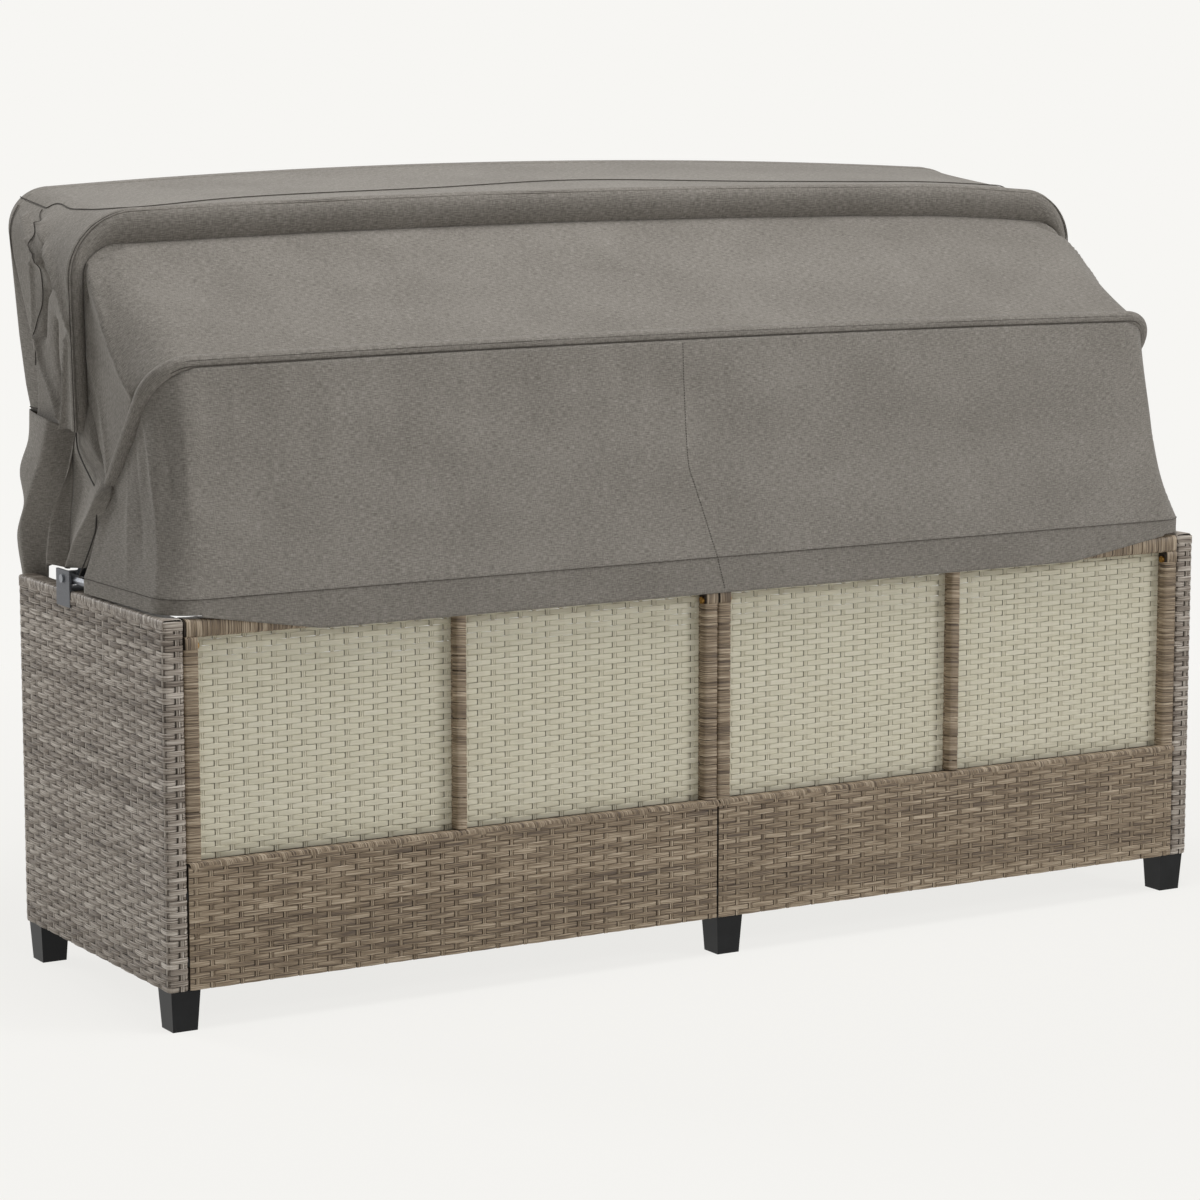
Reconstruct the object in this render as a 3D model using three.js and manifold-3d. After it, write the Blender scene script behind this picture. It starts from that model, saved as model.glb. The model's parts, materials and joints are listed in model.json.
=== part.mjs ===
// Outdoor daybed with a folding canopy, in millimetres, +Z up.
// Two woven seat units stand side by side and two end panels cap them. Four U-shaped bows turn on a pin
// at each end panel and carry the canopy. The front faces -Y and +X is the right end seen from the front.
// While the pieces are made, y = 0 is the woven back and z = 0 is the floor.
import * as THREE from "three";
import { mergeVertices } from "three/addons/utils/BufferGeometryUtils.js";
import Module from "manifold-3d";

const wasm = await Module();
wasm.setup();

// Driving dimensions of the woven base
const baseLength = 2000;
const baseDepth = 580;
const wickerHeight = 580;
const footHeight = 66;
const footTopWidth = 50;
const footBottomWidth = 42;
const footInset = 3;
const endPanelThickness = 30;
const backFrameDepth = 30;
const railHeight = 26;
const postWidth = 22;
const bandHeight = 200;
const recessDepth = 20;
const weaveThickness = 6;
const seamWidth = 4;
const apronThickness = 25;
const deckThickness = 16;
const bearerWidth = 40;
const bearerHeight = 36;
const edgeRadius = 6;
const fitGap = 0.3;

// Small hardware of the base
const spacerHeight = 14;
const spacerDepth = 12;
const lowSpacerHeight = 45;
const highSpacerHeight = 150;
const boltRadius = 6;
const boltHeadThickness = 4;
const boltDrop = 41;
const strapWidth = 20;
const strapThickness = 2;

// Cushions
const seatCushionHeight = 100;
const backCushionHeight = 215;
const backCushionThickness = 120;
const cushionCrown = 16;
const cushionDrawIn = 8;
const cushionEdgeDrop = 14;
const cushionSideGap = 2;
const backCushionMargin = 26;
const backCushionSettle = 0.6;

// Canopy frame: round tubes with an eye at each end, all on one pin at each end panel
const tubeRadius = 8;
const hubSetback = 385;
const hubRise = 21;
const eyeRadius = 12;
const eyeWidth = 16;
const eyePitch = 18;
const pinRadius = 4;
const pinClearance = 0.6;
const pinHeadRadius = 7;
const pinHeadThickness = 3;
const pinTail = 3;
const bracketWidth = 54;
const bracketPlate = 4;
const bracketDrop = 24;
const bracketRise = 14;

// Canopy cloth
const clothThickness = 3;
const sleeveClearance = 0.6;
const seatedGap = 0.5;
const hemDropBack = 50;
const hemDropEnd = 14;
const hemDropCorner = 18;
const hemFallWidth = 200;
const hemRise = 10;
const hemStandOff = 12.3;
const valanceDrop = 80;
const curtainStandOff = 14;
const curtainFoldDepth = 22;
const curtainHemGap = 3;
const curtainCornerRadius = 25;
const curtainFlare = 17;
const curtainSwing = 55;
const stripBackSetback = 548;
const skirtBackSetback = 390;
const skirtBackSwing = 45;
const skirtStep = 8;
const cordRadius = 1.25;

// Each bow: its reach from the pin to the crossbar, its angle above the back, the drop of its half width
// below half the base length, how much its legs spread above the pin, its corner radius and its arch.
const bows = [
  { name: "bow_0", reach: 377, degrees: 0, spread: -8, corner: 50, arch: 0 },
  { name: "bow_1", reach: 458, degrees: 51, spread: -4, corner: 60, arch: 9 },
  { name: "bow_2", reach: 573, degrees: 87.7, spread: 20, corner: 90, arch: 13 },
  { name: "bow_3", reach: 668, degrees: 116.4, spread: 15, corner: 70, arch: 28 },
];
// Reach at which each cloth panel ends on the legs, and the outer radius of each bow's sleeve
const rearPanelReach = { lower: 85, upper: 230 };
const middlePanelReach = { lower: 206, upper: 237 };
const roofPanelReach = { lower: 237, upper: 284 };
const sleeveRadius = { bow_1: 12, bow_2: 20, bow_3: 12 };

// Finishes
const finish = (color, roughness, metalness = 0) =>
  new THREE.MeshStandardMaterial({ color, roughness, metalness });
const brownWicker = finish("#8c7d68", 0.75);
const greyWicker = finish("#857b70", 0.75);
const creamWicker = finish("#cbc8b0", 0.6);
const canopyCloth = finish("#7d776d", 0.95);
const cushionCloth = finish("#a49c8f", 0.95);
const blackPlastic = finish("#222224", 0.5);
const greyTube = finish("#8b8d90", 0.4, 0.9);
const darkSteel = finish("#3a3a3c", 0.5, 0.8);
const brass = finish("#a5834b", 0.4, 0.9);

// Places worked out from the driving dimensions
const halfLength = baseLength / 2;
const wickerTop = footHeight + wickerHeight;
const bandTop = footHeight + bandHeight;
const railBottom = wickerTop - railHeight;
const endPanelInner = halfLength - endPanelThickness;
const backOuter = endPanelInner - seamWidth;
const backInner = seamWidth / 2;
const midPostCentre = (backOuter + backInner) / 2;
const apronBack = -baseDepth + apronThickness;
const hub = { y: -hubSetback, z: wickerTop + hubRise };
const hubX = (index) => halfLength - tubeRadius - index * eyePitch;
const bracketInner = hubX(bows.length - 1) - eyeWidth / 2 - (eyePitch - eyeWidth);
const bracketOuter = halfLength + fitGap + bracketPlate;

const daybed = new THREE.Group();

function addPiece(name, geometry, material) {
  const piece = new THREE.Mesh(geometry, material);
  piece.name = name;
  daybed.add(piece);
  return piece;
}

// Bars and boards: a rounded rectangle extruded along one axis. Low and high are opposite corners.
const extrudeAxes = {
  x: [1, 2, 0],
  y: [2, 0, 1],
  z: [0, 1, 2],
};

function roundedBar(low, high, along, radius = edgeRadius) {
  const [across, up, run] = extrudeAxes[along];
  const left = Math.min(low[across], high[across]);
  const right = Math.max(low[across], high[across]);
  const bottom = Math.min(low[up], high[up]);
  const top = Math.max(low[up], high[up]);
  const start = Math.min(low[run], high[run]);
  const length = Math.abs(high[run] - low[run]);
  const r = Math.min(radius, (right - left) / 3, (top - bottom) / 3);
  const outline = new THREE.Shape()
    .moveTo(left + r, bottom)
    .absarc(right - r, bottom + r, r, -Math.PI / 2, 0)
    .absarc(right - r, top - r, r, 0, Math.PI / 2)
    .absarc(left + r, top - r, r, Math.PI / 2, Math.PI)
    .absarc(left + r, bottom + r, r, Math.PI, Math.PI * 1.5);
  const bar = new THREE.ExtrudeGeometry(outline, {
    depth: length,
    bevelEnabled: false,
    curveSegments: 2,
  });
  bar.translate(0, 0, start);
  const axes = [new THREE.Vector3(), new THREE.Vector3(), new THREE.Vector3()];
  axes[0].setComponent(across, 1);
  axes[1].setComponent(up, 1);
  axes[2].setComponent(run, 1);
  return bar.applyMatrix4(new THREE.Matrix4().makeBasis(...axes));
}

// Woven end panels and the feet
const sides = [
  { name: "right", sign: 1 },
  { name: "left", sign: -1 },
];

for (const { name, sign } of sides) {
  const low = [sign * endPanelInner, -baseDepth, footHeight];
  const high = [sign * halfLength, 0, wickerTop];
  addPiece(`end_panel_${name}`, roundedBar(low, high, "y"), greyWicker);
}

const cornerFootX = halfLength - footInset - footTopWidth / 2;
const middleFootX = -backInner - footTopWidth / 2;
const footRows = { right: cornerFootX, middle: middleFootX, left: -cornerFootX };
const footLines = {
  back: -footInset - footTopWidth / 2,
  front: -baseDepth + footInset + footTopWidth / 2,
};
for (const [row, x] of Object.entries(footRows)) {
  for (const [line, y] of Object.entries(footLines)) {
    const height = footHeight - fitGap;
    const foot = new THREE.CylinderGeometry(
      footTopWidth / Math.SQRT2,
      footBottomWidth / Math.SQRT2,
      height,
      4,
    );
    foot.rotateY(Math.PI / 4).rotateX(Math.PI / 2);
    foot.translate(x, y, height / 2);
    addPiece(`foot_${line}_${row}`, foot, blackPlastic);
  }
}

// Back of each seat unit: a wound frame that holds two cream woven panels over a woven band
for (const { name, sign } of sides) {
  const span = (inner, outer, yFront, yBack, zLow, zHigh, along) =>
    roundedBar([sign * inner, yFront, zLow], [sign * outer, yBack, zHigh], along);
  const rail = span(backInner, backOuter, -backFrameDepth, 0, railBottom, wickerTop, "x");
  addPiece(`back_rail_${name}`, rail, brownWicker);
  const band = span(backInner, backOuter, -backFrameDepth, 0, footHeight, bandTop, "x");
  addPiece(`back_band_${name}`, band, brownWicker);

  const postLow = bandTop + fitGap;
  const postHigh = railBottom - fitGap;
  const posts = {
    inner: [backInner, backInner + postWidth],
    middle: [midPostCentre - postWidth / 2, midPostCentre + postWidth / 2],
    outer: [backOuter - postWidth, backOuter],
  };
  for (const [place, [from, to]] of Object.entries(posts)) {
    const post = span(from, to, -backFrameDepth, 0, postLow, postHigh, "z");
    addPiece(`back_post_${place}_${name}`, post, brownWicker);
  }

  const bays = {
    inner: [posts.inner[1], posts.middle[0]],
    outer: [posts.middle[1], posts.outer[0]],
  };
  for (const [place, [from, to]] of Object.entries(bays)) {
    const [left, right] = [from + fitGap, to - fitGap];
    const back = -recessDepth;
    const panel = span(left, right, back - weaveThickness, back, postLow, postHigh, "z");
    addPiece(`cream_panel_${place}_${name}`, panel, creamWicker);
  }

  const boltZ = wickerTop - boltDrop;
  const boltPlaces = { inner: posts.inner[1], outer: posts.outer[0] };
  for (const [place, face] of Object.entries(boltPlaces)) {
    const away = place === "inner" ? sign : -sign;
    const bolt = new THREE.CylinderGeometry(boltRadius, boltRadius, boltHeadThickness, 12);
    bolt.rotateZ(Math.PI / 2);
    const x = sign * face + away * (boltHeadThickness / 2 + fitGap);
    bolt.translate(x, -recessDepth / 2, boltZ);
    addPiece(`bolt_${place}_${name}`, bolt, brass);
  }
}

// Black spacers in the three upright seams of the back
const seams = { right: endPanelInner - seamWidth / 2, middle: 0, left: -endPanelInner + seamWidth / 2 };
const spacerLevels = { low: lowSpacerHeight, high: highSpacerHeight };
for (const [seam, x] of Object.entries(seams)) {
  for (const [level, z] of Object.entries(spacerLevels)) {
    const reach = seamWidth / 2 - fitGap;
    const low = [x - reach, -spacerDepth, footHeight + z - spacerHeight / 2];
    const high = [x + reach, 0, footHeight + z + spacerHeight / 2];
    addPiece(`spacer_${level}_${seam}`, roundedBar(low, high, "z", fitGap), blackPlastic);
  }
}

// Seat: front apron, deck and the bearer under the meeting line
const deckBack = -backFrameDepth - fitGap;
const deckFront = apronBack + fitGap;
for (const { name, sign } of sides) {
  const apronLow = [sign * backInner, -baseDepth, footHeight];
  const apronHigh = [sign * backOuter, apronBack, bandTop];
  addPiece(`front_apron_${name}`, roundedBar(apronLow, apronHigh, "x"), brownWicker);
  const deckLow = [sign * backInner, deckFront, bandTop - deckThickness];
  const deckHigh = [sign * backOuter, deckBack, bandTop];
  addPiece(`seat_deck_${name}`, roundedBar(deckLow, deckHigh, "y"), brownWicker);
}
const bearerTop = bandTop - deckThickness - fitGap;
const bearerLow = [-bearerWidth / 2, deckFront, bearerTop - bearerHeight];
const bearerHigh = [bearerWidth / 2, deckBack, bearerTop];
addPiece("centre_bearer", roundedBar(bearerLow, bearerHigh, "y"), darkSteel);

// A closed sheet of even thickness round a grid of middle points
function sheet(columns, rows, pointAt, thickness = clothThickness) {
  const middle = [];
  for (let i = 0; i <= columns; i++) {
    for (let j = 0; j <= rows; j++) middle.push(pointAt(i, j));
  }
  const at = (i, j) => i * (rows + 1) + j;
  const layer = middle.length;
  const positions = new Float32Array(layer * 6);
  for (let i = 0; i <= columns; i++) {
    for (let j = 0; j <= rows; j++) {
      const along = middle[at(Math.min(i + 1, columns), j)].clone();
      along.sub(middle[at(Math.max(i - 1, 0), j)]);
      const up = middle[at(i, Math.min(j + 1, rows))].clone();
      up.sub(middle[at(i, Math.max(j - 1, 0))]);
      const half = along.cross(up).setLength(thickness / 2);
      const here = middle[at(i, j)];
      here.clone().add(half).toArray(positions, at(i, j) * 3);
      here.clone().sub(half).toArray(positions, (at(i, j) + layer) * 3);
    }
  }
  const faces = [];
  const quad = (a, b, c, d) => faces.push(a, b, c, a, c, d);
  for (let i = 0; i < columns; i++) {
    for (let j = 0; j < rows; j++) {
      const [a, b, c, d] = [at(i, j), at(i + 1, j), at(i + 1, j + 1), at(i, j + 1)];
      quad(a, b, c, d);
      quad(d + layer, c + layer, b + layer, a + layer);
    }
    const [low, lowNext] = [at(i, 0), at(i + 1, 0)];
    const [high, highNext] = [at(i, rows), at(i + 1, rows)];
    quad(low, low + layer, lowNext + layer, lowNext);
    quad(high, highNext, highNext + layer, high + layer);
  }
  for (let j = 0; j < rows; j++) {
    const [first, firstUp] = [at(0, j), at(0, j + 1)];
    const [last, lastUp] = [at(columns, j), at(columns, j + 1)];
    quad(first, firstUp, firstUp + layer, first + layer);
    quad(last, last + layer, lastUp + layer, lastUp);
  }
  const geometry = new THREE.BufferGeometry();
  geometry.setAttribute("position", new THREE.BufferAttribute(positions, 3));
  geometry.setIndex(faces);
  geometry.computeVertexNormals();
  return geometry;
}

// Cushions: a box whose top and bottom meet a stepped-in edge, whose sides draw in between the corners
// and whose show face is crowned. The cushion lies on z = 0 with its middle at the origin.
const cushionColumns = 14;
const cushionRows = 8;

function cushionTopAt(u, v, height) {
  const crown = (1 - u ** 4) * (1 - v ** 4);
  const rounding = (1 - u ** 10) * (1 - v ** 10);
  return height - cushionCrown + cushionCrown * crown - cushionEdgeDrop * (1 - rounding);
}

function cushion(length, depth, height) {
  const positions = [];
  const faces = [];
  const layer = (cushionColumns + 1) * (cushionRows + 1);
  const at = (i, j) => i * (cushionRows + 1) + j;
  for (const isTop of [true, false]) {
    for (let i = 0; i <= cushionColumns; i++) {
      for (let j = 0; j <= cushionRows; j++) {
        const u = Math.sin(((i / cushionColumns) * 2 - 1) * (Math.PI / 2));
        const v = Math.sin(((j / cushionRows) * 2 - 1) * (Math.PI / 2));
        const x = u * (length / 2) - cushionDrawIn * u ** 5 * (1 - v * v);
        const y = v * (depth / 2) - cushionDrawIn * v ** 5 * (1 - u * u);
        const lift = cushionEdgeDrop * (1 - (1 - u ** 10) * (1 - v ** 10));
        positions.push(x, y, isTop ? cushionTopAt(u, v, height) : lift);
      }
    }
  }
  const quad = (a, b, c, d) => faces.push(a, b, c, a, c, d);
  for (let i = 0; i < cushionColumns; i++) {
    for (let j = 0; j < cushionRows; j++) {
      const [a, b, c, d] = [at(i, j), at(i + 1, j), at(i + 1, j + 1), at(i, j + 1)];
      quad(a, b, c, d);
      quad(d + layer, c + layer, b + layer, a + layer);
    }
    const [near, nearNext] = [at(i, 0), at(i + 1, 0)];
    const [far, farNext] = [at(i, cushionRows), at(i + 1, cushionRows)];
    quad(near, near + layer, nearNext + layer, nearNext);
    quad(far, farNext, farNext + layer, far + layer);
  }
  for (let j = 0; j < cushionRows; j++) {
    const [left, leftUp] = [at(0, j), at(0, j + 1)];
    const [right, rightUp] = [at(cushionColumns, j), at(cushionColumns, j + 1)];
    quad(left, leftUp, leftUp + layer, left + layer);
    quad(right, right + layer, rightUp + layer, rightUp);
  }
  const geometry = new THREE.BufferGeometry();
  geometry.setAttribute("position", new THREE.Float32BufferAttribute(positions, 3));
  geometry.setIndex(faces);
  geometry.computeVertexNormals();
  return geometry;
}

const seatDepth = baseDepth - backFrameDepth - fitGap;
const seatLength = endPanelInner - cushionSideGap - cushionSideGap / 2;
const seatMiddleX = cushionSideGap / 2 + seatLength / 2;
const backLength = seatLength - backCushionMargin;
const seatBottom = bandTop + fitGap;
// Where the back cushion's front foot meets the seat cushion's crown, in shares of half its depth
const backFootShare = 1 - (2 * backCushionThickness) / seatDepth;
const seatTopThere = cushionTopAt(0, backFootShare, seatCushionHeight);
for (const { name, sign } of sides) {
  const seat = cushion(seatLength, seatDepth, seatCushionHeight);
  seat.translate(sign * seatMiddleX, deckBack - seatDepth / 2, seatBottom);
  addPiece(`seat_cushion_${name}`, seat, cushionCloth);

  const back = cushion(backLength, backCushionHeight, backCushionThickness);
  back.rotateX(Math.PI / 2);
  const backX = cushionSideGap / 2 + backLength / 2;
  const backUnderside = seatBottom + seatTopThere + fitGap - cushionDrawIn - backCushionSettle;
  const backZ = backUnderside + backCushionHeight / 2;
  back.translate(sign * backX, deckBack - cushionSideGap, backZ);
  addPiece(`back_cushion_${name}`, back, cushionCloth);
}

// A bow's centre line, right leg first, as points in its own plane: x along the daybed and reach away
// from the pin. Each point has the direction that faces out of the bow. startReach skips the legs' feet.
const legSteps = 3;
const cornerSteps = 4;
const crossSteps = 8;

bows.forEach((bow, index) => {
  bow.footX = hubX(index);
  bow.sideX = bow.footX + bow.spread;
  bow.angle = THREE.MathUtils.degToRad(bow.degrees);
});

function bowPath(bow, startReach = 0) {
  const legTop = bow.reach - bow.corner;
  const half = [];
  for (let k = 0; k < legSteps; k++) {
    const reach = startReach + ((legTop - startReach) * k) / legSteps;
    const x = bow.footX + (bow.spread * reach) / legTop;
    half.push({ x, reach, outX: 1, outReach: 0 });
  }
  const innerX = bow.sideX - bow.corner;
  for (let k = 0; k <= cornerSteps; k++) {
    const turn = (k / cornerSteps) * (Math.PI / 2);
    const outX = Math.cos(turn);
    const outReach = Math.sin(turn);
    half.push({
      x: innerX + bow.corner * outX,
      reach: legTop + bow.corner * outReach,
      outX,
      outReach,
    });
  }
  const cross = [];
  for (let k = 1; k < crossSteps; k++) {
    const share = 1 - (2 * k) / crossSteps;
    const reach = bow.reach + bow.arch * (1 - share * share);
    cross.push({ x: innerX * share, reach, outX: 0, outReach: 1 });
  }
  const other = half.map((p) => ({ ...p, x: -p.x, outX: -p.outX })).reverse();
  return [...half, ...cross, ...other];
}

// A point of a bow's path, moved out of the bow by a stand-off, in the daybed's frame
function onBow(bow, p, standOff = 0) {
  const reach = p.reach + p.outReach * standOff;
  return new THREE.Vector3(
    p.x + p.outX * standOff,
    hub.y + reach * Math.cos(bow.angle),
    hub.z + reach * Math.sin(bow.angle),
  );
}

// A curve whose rings lie on its own points, so that straight legs need few of them
class KnotCurve extends THREE.CatmullRomCurve3 {
  getUtoTmapping(u) {
    return u;
  }
}

const tubeSides = 8;

function ring(radius) {
  const points = [];
  for (let k = 0; k < tubeSides; k++) {
    const turn = (k / tubeSides) * Math.PI * 2;
    points.push(new THREE.Vector2(radius * Math.cos(turn), radius * Math.sin(turn)));
  }
  return points;
}

function tubeAlong(points, radius, bore = 0) {
  const section = new THREE.Shape(ring(radius));
  if (bore > 0) section.holes.push(new THREE.Path(ring(bore)));
  return new THREE.ExtrudeGeometry(section, {
    steps: points.length - 1,
    bevelEnabled: false,
    extrudePath: new KnotCurve(points),
  });
}

function toSolid(geometry) {
  const bare = geometry.clone();
  bare.deleteAttribute("normal");
  bare.deleteAttribute("uv");
  const merged = mergeVertices(bare);
  return new wasm.Manifold(
    new wasm.Mesh({
      numProp: 3,
      vertProperties: new Float32Array(merged.attributes.position.array),
      triVerts: new Uint32Array(merged.index.array),
    }),
  );
}

function toGeometry(solid) {
  const mesh = solid.getMesh();
  const geometry = new THREE.BufferGeometry();
  geometry.setAttribute("position", new THREE.BufferAttribute(mesh.vertProperties, 3));
  geometry.setIndex(new THREE.BufferAttribute(mesh.triVerts, 1));
  geometry.computeVertexNormals();
  return geometry;
}

// Bows: a bent tube with an eye at each foot. They are made in their own plane and turned on the pin.
const eyeSides = 16;

function crossPin(radius, length, x) {
  const pin = new THREE.CylinderGeometry(radius, radius, length, eyeSides);
  return pin.rotateZ(Math.PI / 2).translate(x, 0, 0);
}

for (const bow of bows) {
  const line = bowPath(bow).map((p) => new THREE.Vector3(p.x, p.reach, 0));
  let solid = toSolid(tubeAlong(line, tubeRadius));
  for (const { sign } of sides) {
    const x = sign * bow.footX;
    solid = solid.add(toSolid(crossPin(eyeRadius, eyeWidth, x)));
    solid = solid.subtract(toSolid(crossPin(pinRadius + pinClearance, eyeWidth * 2, x)));
  }
  const mesh = addPiece(bow.name, toGeometry(solid), greyTube);
  mesh.position.set(0, hub.y, hub.z);
  mesh.rotation.x = bow.angle;
}

// Pivot brackets: a plate on the end panel, a flange down its outer face and two ears that hold the pin
for (const { name, sign } of sides) {
  const [yLow, yHigh] = [hub.y - bracketWidth / 2, hub.y + bracketWidth / 2];
  const plateBottom = wickerTop + fitGap;
  const earTop = hub.z + bracketRise;
  const block = (x0, x1, z0, z1) => {
    const box = new THREE.BoxGeometry(x1 - x0, yHigh - yLow, z1 - z0);
    return toSolid(box.translate((sign * (x0 + x1)) / 2, hub.y, (z0 + z1) / 2));
  };
  const outerFace = halfLength + fitGap;
  const pin = crossPin(pinRadius + pinClearance, baseLength, sign * halfLength);
  const bracket = block(bracketInner - bracketPlate, bracketOuter, plateBottom, plateBottom + bracketPlate)
    .add(block(outerFace, bracketOuter, wickerTop - bracketDrop, earTop))
    .add(block(bracketInner - bracketPlate, bracketInner, plateBottom, earTop))
    .subtract(toSolid(pin.translate(0, hub.y, hub.z)));
  addPiece(`pivot_bracket_${name}`, toGeometry(bracket), darkSteel);

  const tailX = bracketInner - bracketPlate - pinTail;
  const headX = bracketOuter + fitGap;
  const profile = [
    [0, tailX],
    [pinRadius, tailX],
    [pinRadius, headX],
    [pinHeadRadius, headX],
    [pinHeadRadius, headX + pinHeadThickness],
    [0, headX + pinHeadThickness],
  ];
  const shaft = new THREE.LatheGeometry(profile.map(([r, a]) => new THREE.Vector2(r, a)), eyeSides);
  shaft.rotateZ(-Math.PI / 2);
  if (sign < 0) shaft.rotateY(Math.PI);
  shaft.translate(0, hub.y, hub.z);
  addPiece(`pivot_pin_${name}`, shaft, greyTube);
}

// Straps that hold the hem bow down to the back rail: a saddle over the tube and the rail, open below
const hemBow = bows[0];
const strapBack = strapThickness + fitGap;
const strapFront = -backFrameDepth - strapBack;
const strapTop = hub.z + tubeRadius + strapBack;
for (const { name, sign } of sides) {
  const saddle = new THREE.Shape([
    new THREE.Vector2(strapBack, railBottom),
    new THREE.Vector2(strapBack, strapTop),
    new THREE.Vector2(strapFront, strapTop),
    new THREE.Vector2(strapFront, railBottom),
    new THREE.Vector2(strapFront + strapThickness, railBottom),
    new THREE.Vector2(strapFront + strapThickness, strapTop - strapThickness),
    new THREE.Vector2(fitGap, strapTop - strapThickness),
    new THREE.Vector2(fitGap, railBottom),
  ]);
  const strap = new THREE.ExtrudeGeometry(saddle, { depth: strapWidth, bevelEnabled: false });
  const along = new THREE.Vector3(0, 1, 0);
  const up = new THREE.Vector3(0, 0, 1);
  const across = new THREE.Vector3(1, 0, 0);
  strap.applyMatrix4(new THREE.Matrix4().makeBasis(along, up, across));
  strap.translate(sign * midPostCentre - strapWidth / 2, 0, 0);
  addPiece(`hem_strap_${name}`, strap, canopyCloth);
}

const { lerp } = THREE.MathUtils;

// Canopy cloth. A panel runs straight from one bow to the next, so it wraps the corners as sewn cloth
// does. Its upper edge is sewn to a sleeve round the upper bow, and its lower edge meets the lower bow.
function sleeve(bow, startReach) {
  const line = bowPath(bow, startReach).map((p) => onBow(bow, p));
  return toSolid(tubeAlong(line, sleeveRadius[bow.name], tubeRadius + sleeveClearance));
}

// The share of a step at which it is a given distance off the bow's line
function shareOff(bow, p, step, distance) {
  const pin = onBow(bow, { ...p, x: 0, reach: 0 });
  const alongLeg = onBow(bow, { ...p, x: 0, reach: 1, outReach: 0 }).sub(pin);
  const line = alongLeg.multiplyScalar(p.outX).setX(-p.outReach).normalize();
  return distance / line.cross(step).length();
}

const wallMiddle = (bow) => (sleeveRadius[bow.name] + tubeRadius + sleeveClearance) / 2;
const [, bow1, bow2, bow3] = bows;

// Rear panel: a hem band that hangs outside the back rail and stops above the end panels
const rearLow = bowPath(hemBow, rearPanelReach.lower);
const rearHigh = bowPath(bow1, rearPanelReach.upper);
const rearRows = 6;

function hemDropAt(p) {
  if (p.outReach < 1) return hemDropEnd;
  const fromCorner = hemBow.sideX - hemBow.corner - Math.abs(p.x);
  const share = Math.min(fromCorner / hemFallWidth, 1);
  return lerp(hemDropCorner, hemDropBack, share);
}

const rearPanel = sheet(rearLow.length - 1, rearRows, (i, j) => {
  const seam = onBow(hemBow, rearLow[i], hemStandOff);
  if (j === 0) return seam.setZ(hub.z - hemDropAt(rearLow[i]));
  seam.z += hemRise;
  const step = onBow(bow1, rearHigh[i]).sub(seam);
  const end = 1 - shareOff(bow1, rearHigh[i], step, wallMiddle(bow1));
  return seam.addScaledVector(step, (end * (j - 1)) / (rearRows - 1));
});
const rear = toSolid(rearPanel).add(sleeve(bow1, middlePanelReach.lower));
addPiece("canopy_rear", toGeometry(rear), canopyCloth);

function panelBetween(lower, upper, reach, rows) {
  const lowLine = bowPath(lower, reach.lower);
  const highLine = bowPath(upper, reach.upper);
  const lowGap = sleeveRadius[lower.name] + seatedGap;
  const cloth = sheet(lowLine.length - 1, rows, (i, j) => {
    const low = onBow(lower, lowLine[i]);
    const step = onBow(upper, highLine[i]).sub(low);
    const start = shareOff(lower, lowLine[i], step, lowGap);
    const end = 1 - shareOff(upper, highLine[i], step, wallMiddle(upper));
    return low.addScaledVector(step, lerp(start, end, j / rows));
  });
  return toSolid(cloth).add(sleeve(upper, reach.upper));
}

const middle = panelBetween(bow1, bow2, middlePanelReach, 4);
addPiece("canopy_middle", toGeometry(middle), canopyCloth);

// Roof panel with the valance that hangs from the front bow's crossbar
const frontLine = bowPath(bow3, roofPanelReach.upper);
const valanceStart = legSteps + cornerSteps;
const valanceColumns = crossSteps;
const valance = sheet(valanceColumns, 2, (i, j) => {
  const point = onBow(bow3, frontLine[valanceStart + i]);
  point.y -= wallMiddle(bow3);
  point.z -= (valanceDrop * j) / 2;
  return point;
});
const roof = panelBetween(bow2, bow3, roofPanelReach, 4).add(toSolid(valance));
addPiece("canopy_roof", toGeometry(roof), canopyCloth);

// End curtains: each hangs from the front bow's corner, runs back below the roof's side and falls in
// folds to the end panel. Columns follow the plan from the front round the corner to the back.
const frontColumns = 3;
const cornerColumns = 3;
const stripColumns = 3;
const skirtColumns = 12;
const curtainColumns = frontColumns + cornerColumns + stripColumns + skirtColumns;
const curtainRows = 8;
const skirtFolds = 2.5;
const frontCorner = onBow(bow3, frontLine[legSteps]);
const frontRidge = onBow(bow3, frontLine[legSteps + cornerSteps]);
const sideLegEnd = onBow(bow2, bowPath(bow2, roofPanelReach.lower)[0]);
const curtainX = frontCorner.x + curtainStandOff;
const curtainFrontY = frontRidge.y - curtainStandOff;
const curtainTop = frontRidge.z;
const sideTop = frontCorner.z;
const skirtTop = sideLegEnd.z - sleeveRadius.bow_1 / 2;
const railTopGap = wickerTop + curtainHemGap;
const bracketTopGap = hub.z + bracketRise + curtainHemGap;

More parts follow.
